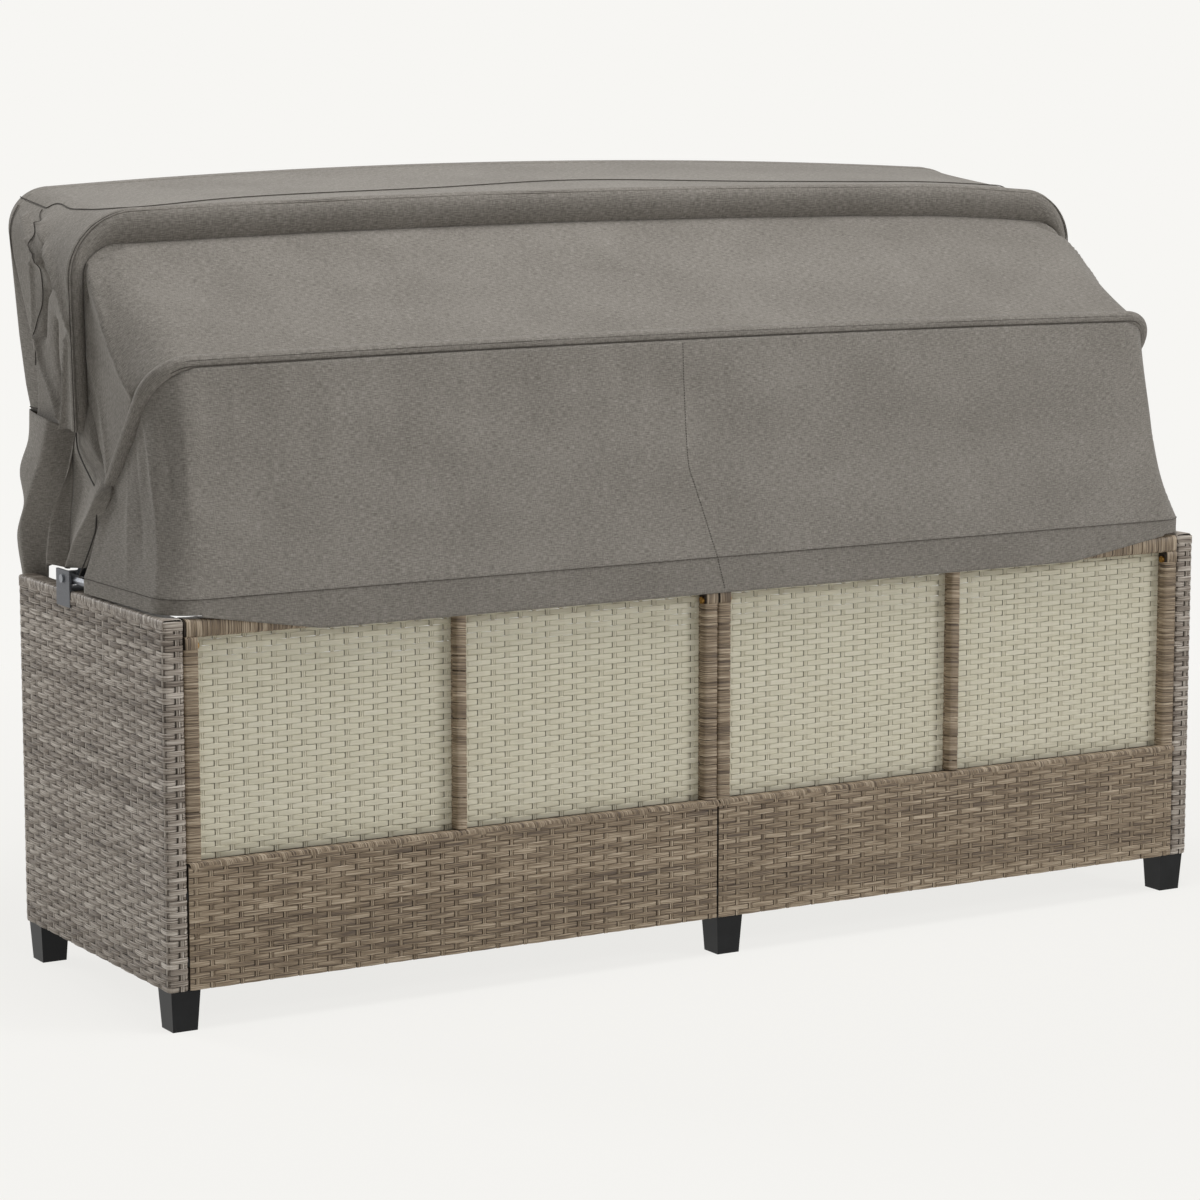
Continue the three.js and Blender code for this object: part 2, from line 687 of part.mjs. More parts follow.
// One column of the curtain: its plan place and top at the hanging edge, and how much it folds
function curtainColumn(i) {
  const innerX = curtainX - curtainCornerRadius;
  const innerY = curtainFrontY + curtainCornerRadius;
  const sideStart = frontColumns + cornerColumns;
  if (i <= sideStart) {
    const along = Math.min(i / frontColumns, 1);
    const cornerShare = Math.max((i - frontColumns) / cornerColumns, 0);
    const turn = (cornerShare * Math.PI) / 2;
    const x = lerp(frontRidge.x, innerX, along) + curtainCornerRadius * Math.sin(turn);
    const y = innerY - curtainCornerRadius * Math.cos(turn);
    return { x, y, swing: curtainSwing, top: lerp(curtainTop, sideTop, cornerShare), fold: 0 };
  }
  const stripShare = (i - sideStart) / stripColumns;
  if (stripShare <= 1) {
    const y = lerp(innerY, -stripBackSetback, stripShare);
    return { x: curtainX, y, swing: curtainSwing, top: sideTop, fold: 0 };
  }
  const skirtShare = (i - sideStart - stripColumns) / skirtColumns;
  const skirtStart = -stripBackSetback + skirtStep;
  const wave = (1 - Math.cos(skirtShare * skirtFolds * Math.PI * 2)) / 2;
  return {
    x: curtainX,
    y: lerp(skirtStart, -skirtBackSetback, skirtShare),
    swing: lerp(curtainSwing, skirtBackSwing, skirtShare),
    top: skirtTop,
    fold: Math.max(wave, skirtShare ** 2),
  };
}

function curtainPoint(i, j) {
  const column = curtainColumn(i);
  const share = j / curtainRows;
  const y = column.y + column.swing * share;
  const overBracket = y > hub.y - bracketWidth;
  const bottom = overBracket ? bracketTopGap : railTopGap;
  const x = column.x + curtainFlare * share + curtainFoldDepth * column.fold * Math.sqrt(share);
  return new THREE.Vector3(x, y, lerp(column.top, bottom, share));
}

for (const { name, sign } of sides) {
  const curtain = sheet(curtainColumns, curtainRows, (i, j) => {
    const point = curtainPoint(i, j);
    return point.setX(point.x * sign);
  });
  addPiece(`curtain_${name}`, curtain, canopyCloth);
}

// Tie cords at each end: one hangs from the sleeve of the second bow to that of the rear bow, and one
// hangs from there to the front edge of the hem. Points are x from the middle, y, and height above the
// floor.
const upperCordRoute = [
  [980, -375.5, 902.6],
  [980, -374, 893],
  [982, -366, 878],
  [984, -345, 861],
  [985, -320, 844],
  [985, -298, 828],
  [984, -280, 815],
  [983, -268, 813],
  [982.3, -260, 820],
  [982.2, -255.8, 826.7],
];
const lowerCordRoute = [
  [971.9, -247.7, 820.4],
  [972, -254, 812.5],
  [976, -262, 800],
  [985, -271, 780],
  [990, -281, 755],
  [995, -292, 727],
  [1000, -303, 702],
  [1004, -311, 686],
  [1005.5, -312.5, 679],
  [1004.6, -308, 677.5],
  [1004.3, -300.4, 677.4],
];
const cordSteps = 24;
const cordRoutes = { upper: upperCordRoute, lower: lowerCordRoute };
for (const { name, sign } of sides) {
  for (const [place, route] of Object.entries(cordRoutes)) {
    const line = new THREE.CatmullRomCurve3(route.map(([x, y, z]) => new THREE.Vector3(sign * x, y, z)));
    const cord = new THREE.ExtrudeGeometry(new THREE.Shape(ring(cordRadius)), {
      steps: cordSteps,
      bevelEnabled: false,
      extrudePath: line,
    });
    addPiece(`tie_cord_${place}_${name}`, cord, blackPlastic);
  }
}

// The daybed's own frame: the middle of its box on the floor
const reach = new THREE.Box3().setFromObject(daybed, true);
daybed.position.y = -(reach.min.y + reach.max.y) / 2;

export default daybed;
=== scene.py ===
"""Outdoor daybed with a folding canopy, finished for rendering. Metres, +Z up, the back faces +Y."""
import json
import math

import bpy
import numpy as np
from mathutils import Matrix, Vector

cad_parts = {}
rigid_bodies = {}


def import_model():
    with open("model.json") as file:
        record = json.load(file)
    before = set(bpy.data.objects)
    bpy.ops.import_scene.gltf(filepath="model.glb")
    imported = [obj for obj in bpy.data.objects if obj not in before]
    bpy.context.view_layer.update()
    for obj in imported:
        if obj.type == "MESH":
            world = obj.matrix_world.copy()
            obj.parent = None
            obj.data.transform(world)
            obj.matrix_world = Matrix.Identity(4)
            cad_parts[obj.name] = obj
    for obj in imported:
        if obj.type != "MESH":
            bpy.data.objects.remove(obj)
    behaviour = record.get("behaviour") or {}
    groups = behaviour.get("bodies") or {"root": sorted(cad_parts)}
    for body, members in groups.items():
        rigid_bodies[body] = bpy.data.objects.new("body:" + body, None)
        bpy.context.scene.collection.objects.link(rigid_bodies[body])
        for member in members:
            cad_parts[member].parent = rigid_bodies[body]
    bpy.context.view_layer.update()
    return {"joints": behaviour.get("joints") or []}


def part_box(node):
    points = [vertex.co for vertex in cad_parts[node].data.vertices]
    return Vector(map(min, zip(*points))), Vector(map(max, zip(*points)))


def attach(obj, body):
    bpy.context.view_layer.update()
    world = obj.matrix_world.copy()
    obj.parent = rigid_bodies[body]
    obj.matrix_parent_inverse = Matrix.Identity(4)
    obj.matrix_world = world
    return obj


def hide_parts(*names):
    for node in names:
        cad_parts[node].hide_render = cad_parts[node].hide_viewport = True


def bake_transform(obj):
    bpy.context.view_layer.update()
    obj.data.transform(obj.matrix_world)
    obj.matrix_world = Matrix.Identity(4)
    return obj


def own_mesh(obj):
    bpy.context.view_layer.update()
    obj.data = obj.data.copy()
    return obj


for leftover in list(bpy.data.objects):
    bpy.data.objects.remove(leftover)
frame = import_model()
scene = bpy.context.scene

# Camera: stands behind the daybed at its right end, a little above it, with a long lens.
camera_place = (3.34674, 5.62550, 1.54075)
camera_turn = math.radians(149.40990)
camera_dip = math.radians(8.52577)
camera_data = bpy.data.cameras.new("camera")
camera_data.sensor_width = 36.0
camera_data.lens = 114.325
camera_data.clip_end = 200.0
camera = bpy.data.objects.new("camera", camera_data)
camera.location = camera_place
camera.rotation_euler = (math.pi / 2 - camera_dip, 0.0, camera_turn)
scene.collection.objects.link(camera)
scene.camera = camera


# Tie cords: thin dark braided cord, sewn to the sleeves and the hem at each end. Each hangs slack from
# hoop to hoop. Points are x from the middle, y from the woven back and height, in millimetres.
def add_node(material, kind, values=(), links=(), stops=(), **settings):
    """Adds a shader node with its settings, socket values, links and colour stops, and returns it."""
    node = material.node_tree.nodes.new("ShaderNode" + kind)
    for _ in stops[2:]:
        node.color_ramp.elements.new(0.5)
    for number, (place, hex_colour) in enumerate(stops):
        node.color_ramp.elements[number].position = place
        node.color_ramp.elements[number].color = paint(hex_colour)
    for name, value in settings.items():
        setattr(node, name, value)
    for socket, value in dict(values).items():
        node.inputs[socket].default_value = value
    for socket, source in dict(links).items():
        material.node_tree.links.new(source, node.inputs[socket])
    return node


def paint(hex_colour):
    """sRGB hex to linear: each channel is raised as the sRGB curve says."""
    s = np.array([int(hex_colour[k : k + 2], 16) for k in (1, 3, 5)]) / 255
    linear = np.where(s <= 0.04045, s / 12.92, ((s + 0.055) / 1.055) ** 2.4)
    return (*map(float, linear), 1.0)


def new_finish(name, **values):
    """A material with one Principled shader, whose sockets take the values."""
    material = bpy.data.materials.new(name)
    material.use_nodes = True
    shader = material.node_tree.nodes["Principled BSDF"]
    for socket, value in values.items():
        shader.inputs[socket.replace("_", " ")].default_value = value
    return material, shader


def connect(material, source, shader, socket):
    """Links an output to a socket of the shader."""
    material.node_tree.links.new(source, shader.inputs[socket])


def dress(piece, material, body=None):
    """Gives a piece its material and slot and, where it follows one body, that body."""
    piece.data.materials.append(material)
    if body:
        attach(piece, body)
    return piece


def surface(name, points, uv=None, tone=None, ring=True, capped=True, sharp=40):
    """A mesh over grids of points. points[s, i, k] is strip s, step i along it, place k across it.
    A ring joins the last place across to the first, and caps close both ends of each ring."""
    strips, steps, across = points.shape[:3]
    at = np.arange(strips * steps * across).reshape(strips, steps, across)
    near = at if ring else at[:, :, :-1]
    far = np.roll(at, -1, axis=2) if ring else at[:, :, 1:]
    quads = np.stack([near[:, :-1], near[:, 1:], far[:, 1:], far[:, :-1]], axis=-1).reshape(-1, 4)
    corners = [quads.ravel()]
    counts = [np.full(len(quads), 4)]
    if ring and capped:
        ends = np.concatenate([at[:, 0], at[:, -1, ::-1]])
        corners.append(ends.ravel())
        counts.append(np.full(len(ends), across))
    corners, counts = np.concatenate(corners), np.concatenate(counts)
    mesh = bpy.data.meshes.new(name)
    mesh.vertices.add(at.size)
    mesh.vertices.foreach_set("co", points.reshape(-1).astype(np.float32))
    mesh.loops.add(len(corners))
    mesh.loops.foreach_set("vertex_index", corners.astype(np.int32))
    mesh.polygons.add(len(counts))
    starts = np.concatenate([[0], np.cumsum(counts)[:-1]])
    mesh.polygons.foreach_set("loop_start", starts.astype(np.int32))
    mesh.update(calc_edges=True)
    if uv is not None:
        a, b = uv[:, :, :-1], uv[:, :, 1:]
        loops = np.stack([a[:, :-1], a[:, 1:], b[:, 1:], b[:, :-1]], axis=3).reshape(-1, 2)
        values = np.zeros((len(corners), 2), np.float32)
        values[: len(loops)] = loops
        mesh.uv_layers.new(name="length").data.foreach_set("uv", values.ravel())
    if tone is not None:
        layer = mesh.attributes.new("tone", "FLOAT", "POINT")
        spread = np.broadcast_to(tone.reshape(strips, -1, 1), (strips, steps, across))
        layer.data.foreach_set("value", spread.astype(np.float32).ravel())
    mesh.shade_smooth()
    mesh.set_sharp_from_angle(angle=math.radians(sharp))
    piece = bpy.data.objects.new(name, mesh)
    scene.collection.objects.link(piece)
    return piece


def run_along(line):
    """Distance run along a line, from nought at its start."""
    return np.concatenate([[0], np.cumsum(np.linalg.norm(np.diff(line, axis=0), axis=1))])


def cubics(knots, t):
    """Catmull-Rom cubics through knots, one for each span, at the shares t of a span. Returns them and
    the knots at each span's start and end."""
    k = np.concatenate([2 * knots[:1] - knots[1:2], knots, 2 * knots[-1:] - knots[-2:-1]])
    a, b, c, d = (k[n : len(k) - 3 + n, None] for n in range(4))
    curve = 0.5 * (2 * b + (c - a) * t + (2 * a - 5 * b + 4 * c - d) * t**2 + (3 * b - 3 * c + d - a) * t**3)
    return curve, b, c


def spline(knots, steps):
    """A smooth line of such cubics through knots, sampled evenly by arc length."""
    knots = np.asarray(knots, float)
    curve, _, _ = cubics(knots, np.linspace(0, 1, 24, endpoint=False)[:, None])
    line = np.vstack([curve.reshape(-1, knots.shape[1]), knots[-1]])
    reach = run_along(line)
    even = np.linspace(0, reach[-1], steps)
    return np.stack([np.interp(even, reach, line[:, n]) for n in range(knots.shape[1])], axis=1)


def unit(v):
    """Vectors divided by their lengths."""
    return v / np.maximum(np.linalg.norm(v, axis=-1, keepdims=True), 1e-12)


def square_to(along):
    """Two directions square to a line's direction and to each other."""
    side = unit(np.cross(along, [0.13, 0.21, 1.0]))
    return side, np.cross(side, along)


def tube(name, line, radius, sides=8, **options):
    """A round tube: a circle of the radius carried along the line, square to its direction."""
    along = unit(np.gradient(line, axis=0))
    side, up = square_to(along)
    turn = np.linspace(0, 2 * math.pi, sides, endpoint=False)
    offset = np.cos(turn)[None, :, None] * side[:, None] + np.sin(turn)[None, :, None] * up[:, None]
    size = np.broadcast_to(radius, len(line))[:, None, None]
    points = line[:, None] + offset * size
    reach = run_along(line)
    uv = np.zeros((1, len(line), sides + 1, 2))
    uv[0, :, :, 0] = reach[:, None]
    uv[0, :, :, 1] = np.linspace(0, 2 * math.pi, sides + 1) * np.mean(radius)
    return surface(name, points[None, :, ::-1], uv=uv, **options)


hub = np.array(frame["joints"][0]["pos_m"])
hub_setback = 0.385
back_plane = hub[1] + hub_setback
cord_radius = 0.00125
cord_routes = {
    "upper": [
        (980, -375.5, 902.6), (980, -374, 893), (982, -366, 878), (984, -345, 861), (985, -320, 844),
        (985, -298, 828), (984, -280, 815), (983, -268, 813), (982.3, -260, 820), (982.2, -255.8, 826.7),
    ],
    "lower": [
        (986.5, -247.7, 820.4), (987.5, -254, 812.5), (989, -262, 800), (991.5, -271, 780),
        (990, -281, 755), (995, -292, 727), (1000, -303, 702), (1004, -311, 686), (1005.5, -312.5, 679),
        (1004.6, -308, 677.5), (1004.3, -300.4, 677.4),
    ],
}
cord_bodies = {"upper": ("rear_hoop", "middle_hoop"), "lower": ("base", "rear_hoop")}

# Polyester braid dyed dark: a dull dark thread with a fine slanting rib.
braid, braid_shader = new_finish("dark_polyester_braid", Roughness=0.85)
place = add_node(braid, "UVMap", uv_map="length").outputs["UV"]
twist = add_node(braid, "Mapping", {"Scale": (900.0, 900.0, 1.0)}, {"Vector": place})
ribs = add_node(
    braid, "TexWave", {"Scale": 0.5, "Distortion": 1.0}, {"Vector": twist.outputs["Vector"]},
    bands_direction="DIAGONAL",
).outputs["Fac"]
braid_colour = add_node(braid, "ValToRGB", links={"Fac": ribs}, stops=[(0.0, "#1d1b19"), (1.0, "#4a4641")])
connect(braid, braid_colour.outputs["Color"], braid_shader, "Base Color")

for end, sign in (("right", 1), ("left", -1)):
    for place_name, route in cord_routes.items():
        knots = np.array(route) / 1000
        knots[:, 0] *= sign
        knots[:, 1] += back_plane
        line = spline(knots, 60)
        cord = tube(f"tie_cord_braid_{place_name}_{end}", line, cord_radius)
        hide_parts(f"tie_cord_{place_name}_{end}")
        low, high = cord_bodies[place_name]
        dress(cord, braid)
        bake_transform(cord)

# Woven strip of the base: extruded polyethylene with streaks of several tones and fine lengthwise ribs.
# Rows of flat strip pass over and under pairs of narrow upright stakes, and each strip has its own tone.
row_pitch = 0.009
strip_width = 0.0089
strip_thickness = 0.0013
stake_pitch = 0.0254
stake_width = 0.0031
stake_gap = 0.0003
row_wander, wander_rate = 0.0002, 31
turn_shift, turn_lift, lean_start = 0.12, 0.0005, 0.6
random = np.random.default_rng(7)


def speckled(name, scale, stops, **values):
    """A finish whose colour is one noise in the object's own coordinates, put through colour stops."""
    material, shader = new_finish(name, **values)
    spot = add_node(material, "TexCoord").outputs["Object"]
    noise = add_node(material, "TexNoise", {"Scale": scale}, {"Vector": spot}).outputs["Fac"]
    colour = add_node(material, "ValToRGB", links={"Fac": noise}, stops=stops).outputs["Color"]
    connect(material, colour, shader, "Base Color")
    return material, shader, noise


def wicker(name, stops, roughness, rib_height, hole_shade_colour):
    """Streaked strip: long thin noise along the strip picks the colour and raises the ribs. Painted shade
    darkens a strip towards the hole colour in the hole at one side of the stakes, where no light reaches it."""
    material, shader = new_finish(name, Roughness=roughness)
    place = add_node(material, "UVMap", uv_map="length").outputs["UV"]
    own = add_node(material, "Attribute", attribute_name="tone").outputs["Fac"]
    hole = add_node(material, "Attribute", attribute_name="hole").outputs["Fac"]
    shift = add_node(material, "Math", {1: 41.0}, {0: own}, operation="MULTIPLY").outputs["Value"]
    aside = add_node(material, "CombineXYZ", links={"Z": shift}).outputs["Vector"]
    there = add_node(material, "VectorMath", links={0: place, 1: aside}, operation="ADD").outputs["Vector"]
    # Streaks are 60 mm long and 1.5 mm wide
    long = add_node(material, "Mapping", {"Scale": (16.0, 650.0, 1.0)}, {"Vector": there})
    streak = add_node(
        material, "TexNoise", {"Scale": 1.0, "Detail": 2.0, "Roughness": 0.5},
        {"Vector": long.outputs["Vector"]},
    ).outputs["Fac"]
    spread = add_node(
        material, "MapRange", {"From Min": 0.0, "From Max": 1.0, "To Min": -0.08, "To Max": 0.08},
        {"Value": own},
    ).outputs["Result"]
    mixed = add_node(material, "Math", links={0: streak, 1: spread}, operation="ADD").outputs["Value"]
    colour = add_node(material, "ValToRGB", links={"Fac": mixed}, stops=stops).outputs["Color"]
    # Painted shade: the hole attribute pulls the strip's colour towards the dark hole colour.
    dark = add_node(
        material, "Mix", {"B": paint(hole_shade_colour)}, {"Factor": hole, "A": colour}, data_type="RGBA"
    )
    connect(material, dark.outputs["Result"], shader, "Base Color")
    bump = add_node(material, "Bump", {"Strength": 0.5, "Distance": rib_height}, {"Height": streak})
    connect(material, bump.outputs["Normal"], shader, "Normal")
    return material


# The last colour given to each strip below is the painted shade in the holes of the weave.
brown_strip = wicker(
    "brown_polyethylene_strip",
    [(0.3, "#52453a"), (0.45, "#7d6c57"), (0.57, "#9e8d77"), (0.72, "#c6b6a0")], 0.5, 0.0003, "#2c241b",
)
grey_strip = wicker(
    "grey_polyethylene_strip",
    [(0.3, "#4f453c"), (0.45, "#867b70"), (0.57, "#afa59a"), (0.72, "#dbd3c9")], 0.5, 0.0003, "#241e18",
)
cream_strip = wicker(
    "cream_polyethylene_strip",
    [(0.2, "#cdc7af"), (0.5, "#dad5c0"), (0.8, "#e5e0ce")], 0.5, 0.0001, "#4b4434",
)
# The CAD solids under the weave are kept as a very dark core. It stands partly for the inner frame and
# partly, as painted shade, for the shaded hollow seen through the gaps between strips.
frame_and_shade_core, _, _ = speckled(
    "painted_inner_frame", 90.0, [(0.3, "#2a231b"), (0.7, "#3d3328")], Roughness=0.8
)

# Section of a strip, as shares of its width across and its thickness outwards: flat with rounded edges
crown = np.array([(-0.5, 0.0), (-0.43, 0.82), (0.0, 1.0), (0.43, 0.82), (0.5, 0.0), (0.0, -0.2)])


def carried(line, across, out, width, thickness):
    """Carries the strip's section along lines. line, across and out are [strip, step, xyz]."""
    section = crown * (width, thickness)
    return line[:, :, None] + across[:, :, None] * section[:, :1] + out[:, :, None] * section[:, 1:]


def strip_uv(reach, width, strips):
    """UV of carried strips in metres: u is the reach along the strip, v the place across it."""
    uv = np.zeros((strips, len(reach), len(crown) + 1, 2))
    uv[..., 0] = reach[None, :, None] + random.uniform(0, 5, (strips, 1, 1))
    uv[..., 1] = np.concatenate([crown[:, 0], crown[:1, 0]]) * width
    return uv


def laid(name, line, across, out, width, reach, material, tone, hole=0.0):
    """Strips laid along lines. Each has a tone picked between two limits, and hole says how much painted
    shade each step takes, from how far it lies in a hole of the weave."""
    points = carried(line, across, out, width, strip_thickness)
    strips, steps = points.shape[:2]
    uv = strip_uv(reach, width, strips)
    piece = surface(name, points, uv=uv, tone=random.uniform(*tone, (strips, 1)))
    depth = np.broadcast_to(hole, (strips, steps))
    layer = piece.data.attributes.new("hole", "FLOAT", "POINT")
    layer.data.foreach_set("value", np.repeat(depth.ravel(), len(crown)).astype(np.float32))
    return dress(piece, material, "base")


def weave(name, place_on, length, height, material, hole_width=0.0024, rise=0.0014, bends=()):
    """Rows of strip over and under pairs of stakes. At each stake a row is level, one step outside or
    inside the stakes, and it slopes from one level to the other in between. Neighbouring rows do the
    opposite. place_on(u, v) gives points and outward directions for u along the rows and v up them.
    Rows have more points where they bend round an edge."""
    rows = int(round(height / row_pitch))
    pitch = height / rows
    stakes = max(int(round(length / stake_pitch)), 1)
    gap = length / stakes
    pair = stake_width + stake_gap / 2
    centres = (np.arange(stakes) + 0.5) * gap
    # Five steps for each stake: the slope's end, the hole, under or over the stakes, the hole, and on
    offsets = np.array([-pair - hole_width, -pair - hole_width * 0.15, 0.0, pair, pair + hole_width * 0.3])
    u = np.concatenate([[0.0], (centres[:, None] + offsets).ravel(), [length]])
    level = np.concatenate([[0.0], np.repeat((-1.0) ** np.arange(stakes), 5), [0.0]])
    # Painted shade: the share of the hole colour at each step. It is most in the hole on one side of the
    # stakes, and only where the row passes under them.
    hole_shade_share = np.concatenate([[0.0], np.tile([0.7, 1.0, 0.2, 0.0, 0.0], stakes), [0.0]])
    sign = ((-1.0) ** np.arange(rows))[:, None]
    n = sign * level
    ends = np.concatenate([[False], np.tile([True, False, False, False, True], stakes), [False]])
    n = np.where(ends & (n < 0), 0.15, n)
    hole_shade_share = hole_shade_share * (n < 0)
    stations = np.sort(np.concatenate([u, bends]))
    n, hole_shade_share = (np.stack([np.interp(stations, u, row) for row in rows_of]) for rows_of in (n, hole_shade_share))
    u = np.broadcast_to(stations, n.shape)
    wander = row_wander * np.sin(u * wander_rate + random.uniform(0, 6, (rows, 1)))
    v = (np.arange(rows)[:, None] + 0.5) * pitch + wander
    base, out = place_on(u, v)
    above, _ = place_on(u, v + 0.001)
    across = unit(above - base)
    out = unit(out)
    width = strip_width * pitch / row_pitch
    line = base + out * (rise * n)[..., None]
    woven = laid(f"{name}_rows", line, -across, out, width, u[0], material, (0, 1), hole_shade_share)

    side = (stake_width + stake_gap) / 2
    u = np.concatenate([centres - side, centres + side])[:, None].repeat(2, 1)
    v = np.array([[0.0, height]]).repeat(len(u), 0)
    base, out = place_on(u, v)
    beside, _ = place_on(u + 0.001, v)
    across = unit(beside - base)
    reach = np.array([0, height])
    laid(f"{name}_stakes", base, across, unit(out), stake_width, reach, material, (0.4, 1))
    return woven


def squarish(turn, power):
    """Cosine and sine of a turn, each raised to a power with its sign kept, for rounded rectangles."""
    return [np.sign(wave) * np.abs(wave) ** power for wave in (np.cos(turn), np.sin(turn))]


def wound(name, start, end, half, turn_sizes, material, normal):
    """Strip wound round a bar. Each turn follows a rounded rectangle of the half sizes, square to the bar.
    The turns have a pitch, a width and a slant by which they lean along the bar. normal is the direction
    of the section's first half size."""
    pitch, width, slant = turn_sizes
    start, end = np.array(start, float), np.array(end, float)
    run = end - start
    length = np.linalg.norm(run)
    along = run / length
    first = np.array(normal, float)
    second = np.cross(along, first)
    turns = max(int(round(length / pitch)), 1)
    angle = np.linspace(0, 2 * math.pi, 17)
    c, s = squarish(angle, 0.32)
    loop = (c * half[0])[:, None] * first + (s * half[1])[:, None] * second
    flat = np.gradient(loop, axis=0)
    out = unit(np.cross(flat, along))
    lean = slant * np.sin(angle + lean_start)
    spot = (np.arange(turns) + 0.5) / turns * length + random.uniform(-turn_shift, turn_shift, turns) * pitch
    line = start + spot[:, None, None] * along + loop[None] + lean[None, :, None] * along
    across = np.broadcast_to(along, line.shape)
    outs = np.broadcast_to(out, line.shape)
    lift = random.uniform(0, turn_lift, (turns, 1, 1))
    return laid(name, line + outs * lift, across, outs, width, run_along(loop), material, (0, 1))


# End panels: a tube frame covered all round with one weave of grey-brown strip, whose rows run on round
# the upright edges. Slanting wraps bind the top edge.
panel_edge = 0.006
rim_height = 0.014
rim_turns = (0.0062, 0.0068, 0.004)
cap_turns = (0.0075, 0.0076, 0.001)
cap_half, cap_inset = 0.0052, 0.0046
weave_standoff = 0.0004


def finish_node(node, material):
    """Puts a material on a CAD piece."""
    mesh = bpy.data.objects[node].data
    mesh.materials.clear()
    mesh.materials.append(material)


def box_of(node):
    """The low and high corners of a CAD piece."""
    return (np.array(corner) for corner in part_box(node))


def around_panel(node):
    """Points round a panel in plan: two straight faces joined by quarter circles at its four corners."""
    low, high = box_of(node)
    r = panel_edge
    width, depth = high[0] - low[0], high[1] - low[1]
    centres = np.array([(high[0] - r, low[1] + r), (high[0] - r, high[1] - r),
                        (low[0] + r, high[1] - r), (low[0] + r, low[1] + r)])
    runs = [depth - 2 * r, math.pi / 2 * r, width - 2 * r, math.pi / 2 * r] * 2
    stations = np.concatenate([[0], np.cumsum(runs)])

    def place_on(u, v):
        u = np.mod(u, stations[-1])
        leg = np.clip(np.searchsorted(stations, u, side="right") - 1, 0, 7)
        side, bend = leg // 2, leg % 2
        within = u - stations[leg]
        facing = side * math.pi / 2
        turn = facing + np.where(bend == 1, within / r, 0)
        out = np.stack([np.cos(turn), np.sin(turn), np.zeros_like(turn)], axis=-1)
        centre = centres[side]
        nxt = centres[(side + 1) % 4]
        start = np.where((bend == 1)[..., None], nxt, centre)
        flow = np.stack([-np.sin(facing), np.cos(facing)], axis=-1)
        plan = start + np.where((bend == 1)[..., None], 0, flow * within[..., None])
        points = np.concatenate([plan, (low[2] + v)[..., None]], axis=-1)
        return points + out * (r + weave_standoff), out

    bends = np.concatenate([np.linspace(stations[n], stations[n + 1], 5) for n in (1, 3, 5, 7)])[:-1]
    return place_on, stations[-1], high[2] - low[2], bends


for end in ("right", "left"):
    node = f"end_panel_{end}"
    finish_node(node, frame_and_shade_core)
    place_on, girth, height, bends = around_panel(node)
    weave(
        f"end_weave_{end}", place_on, girth, height - rim_height + 0.004, grey_strip, hole_width=0.0045,
        rise=0.0020, bends=bends,
    )
    low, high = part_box(node)
    x = (low[0] + high[0]) / 2
    z = high[2] - rim_height / 2 + 0.001
    wound(
        f"end_rim_{end}", (x, low[1] + 0.002, z), (x, high[1] - 0.002, z),
        ((high[0] - low[0]) / 2 + 0.0016, rim_height / 2 + 0.0008), rim_turns, grey_strip, (1, 0, 0),
    )
    for side, y in (("front", low[1] + cap_inset), ("back", high[1] - cap_inset)):
        wound(
            f"end_rim_{side}_cap_{end}", (x, y, high[2] - rim_height - 0.001), (x, y, high[2] - 0.001),
            ((high[0] - low[0]) / 2 + 0.0006, cap_half), cap_turns, grey_strip, (1, 0, 0),
        )

# Back of each seat unit: a lower band woven in brown strip, a wound top rail, wound posts and two
# see-through bays closed with cream weave. The middle post is a slim bar under coarse slanting turns. The
# others are bound with upright turns where they meet the rail.
slim_half = 0.0078
joint_height = 0.021
roll = 0.005
roll_overhang = 0.0008
roll_turns = (0.006, 0.0066, 0.005)
rail_turns = (0.0072, 0.0076, 0.0015)
slim_turns = (0.0086, 0.0090, 0.0030)
post_turns = (0.0046, 0.0048, 0.0012)
joint_turns = (0.0042, 0.0045, 0.0008)


def flat_face(low, high, depth, facing):
    """Points on an upright face at one depth. They run from its left as seen from outside, and facing is
    1 for a face to the back and -1 for one to the front."""
    start = high[0] if facing > 0 else low[0]

    def place_on(u, v):
        out = np.zeros(u.shape + (3,))
        out[..., 1] = facing
        return np.stack([start - facing * u, np.full_like(u, depth), low[2] + v + 0 * u], axis=-1), out

    return place_on


def woven_board(kind, node, end, facing):
    """A board covered in brown weave below a rolled top edge."""
    finish_node(node, frame_and_shade_core)
    low, high = box_of(node)
    face = high[1] if facing > 0 else low[1]
    place_on = flat_face(low, high, face + facing * weave_standoff, facing)
    weave(f"{kind}_weave_{end}", place_on, high[0] - low[0], high[2] - low[2] - roll, brown_strip)
    y, z = face - facing * (roll - roll_overhang), high[2] - roll + 0.001
    wound(
        f"{kind}_roll_{end}", (low[0], y, z), (high[0], y, z), (roll, roll), roll_turns, brown_strip,
        (0, 0, 1),
    )


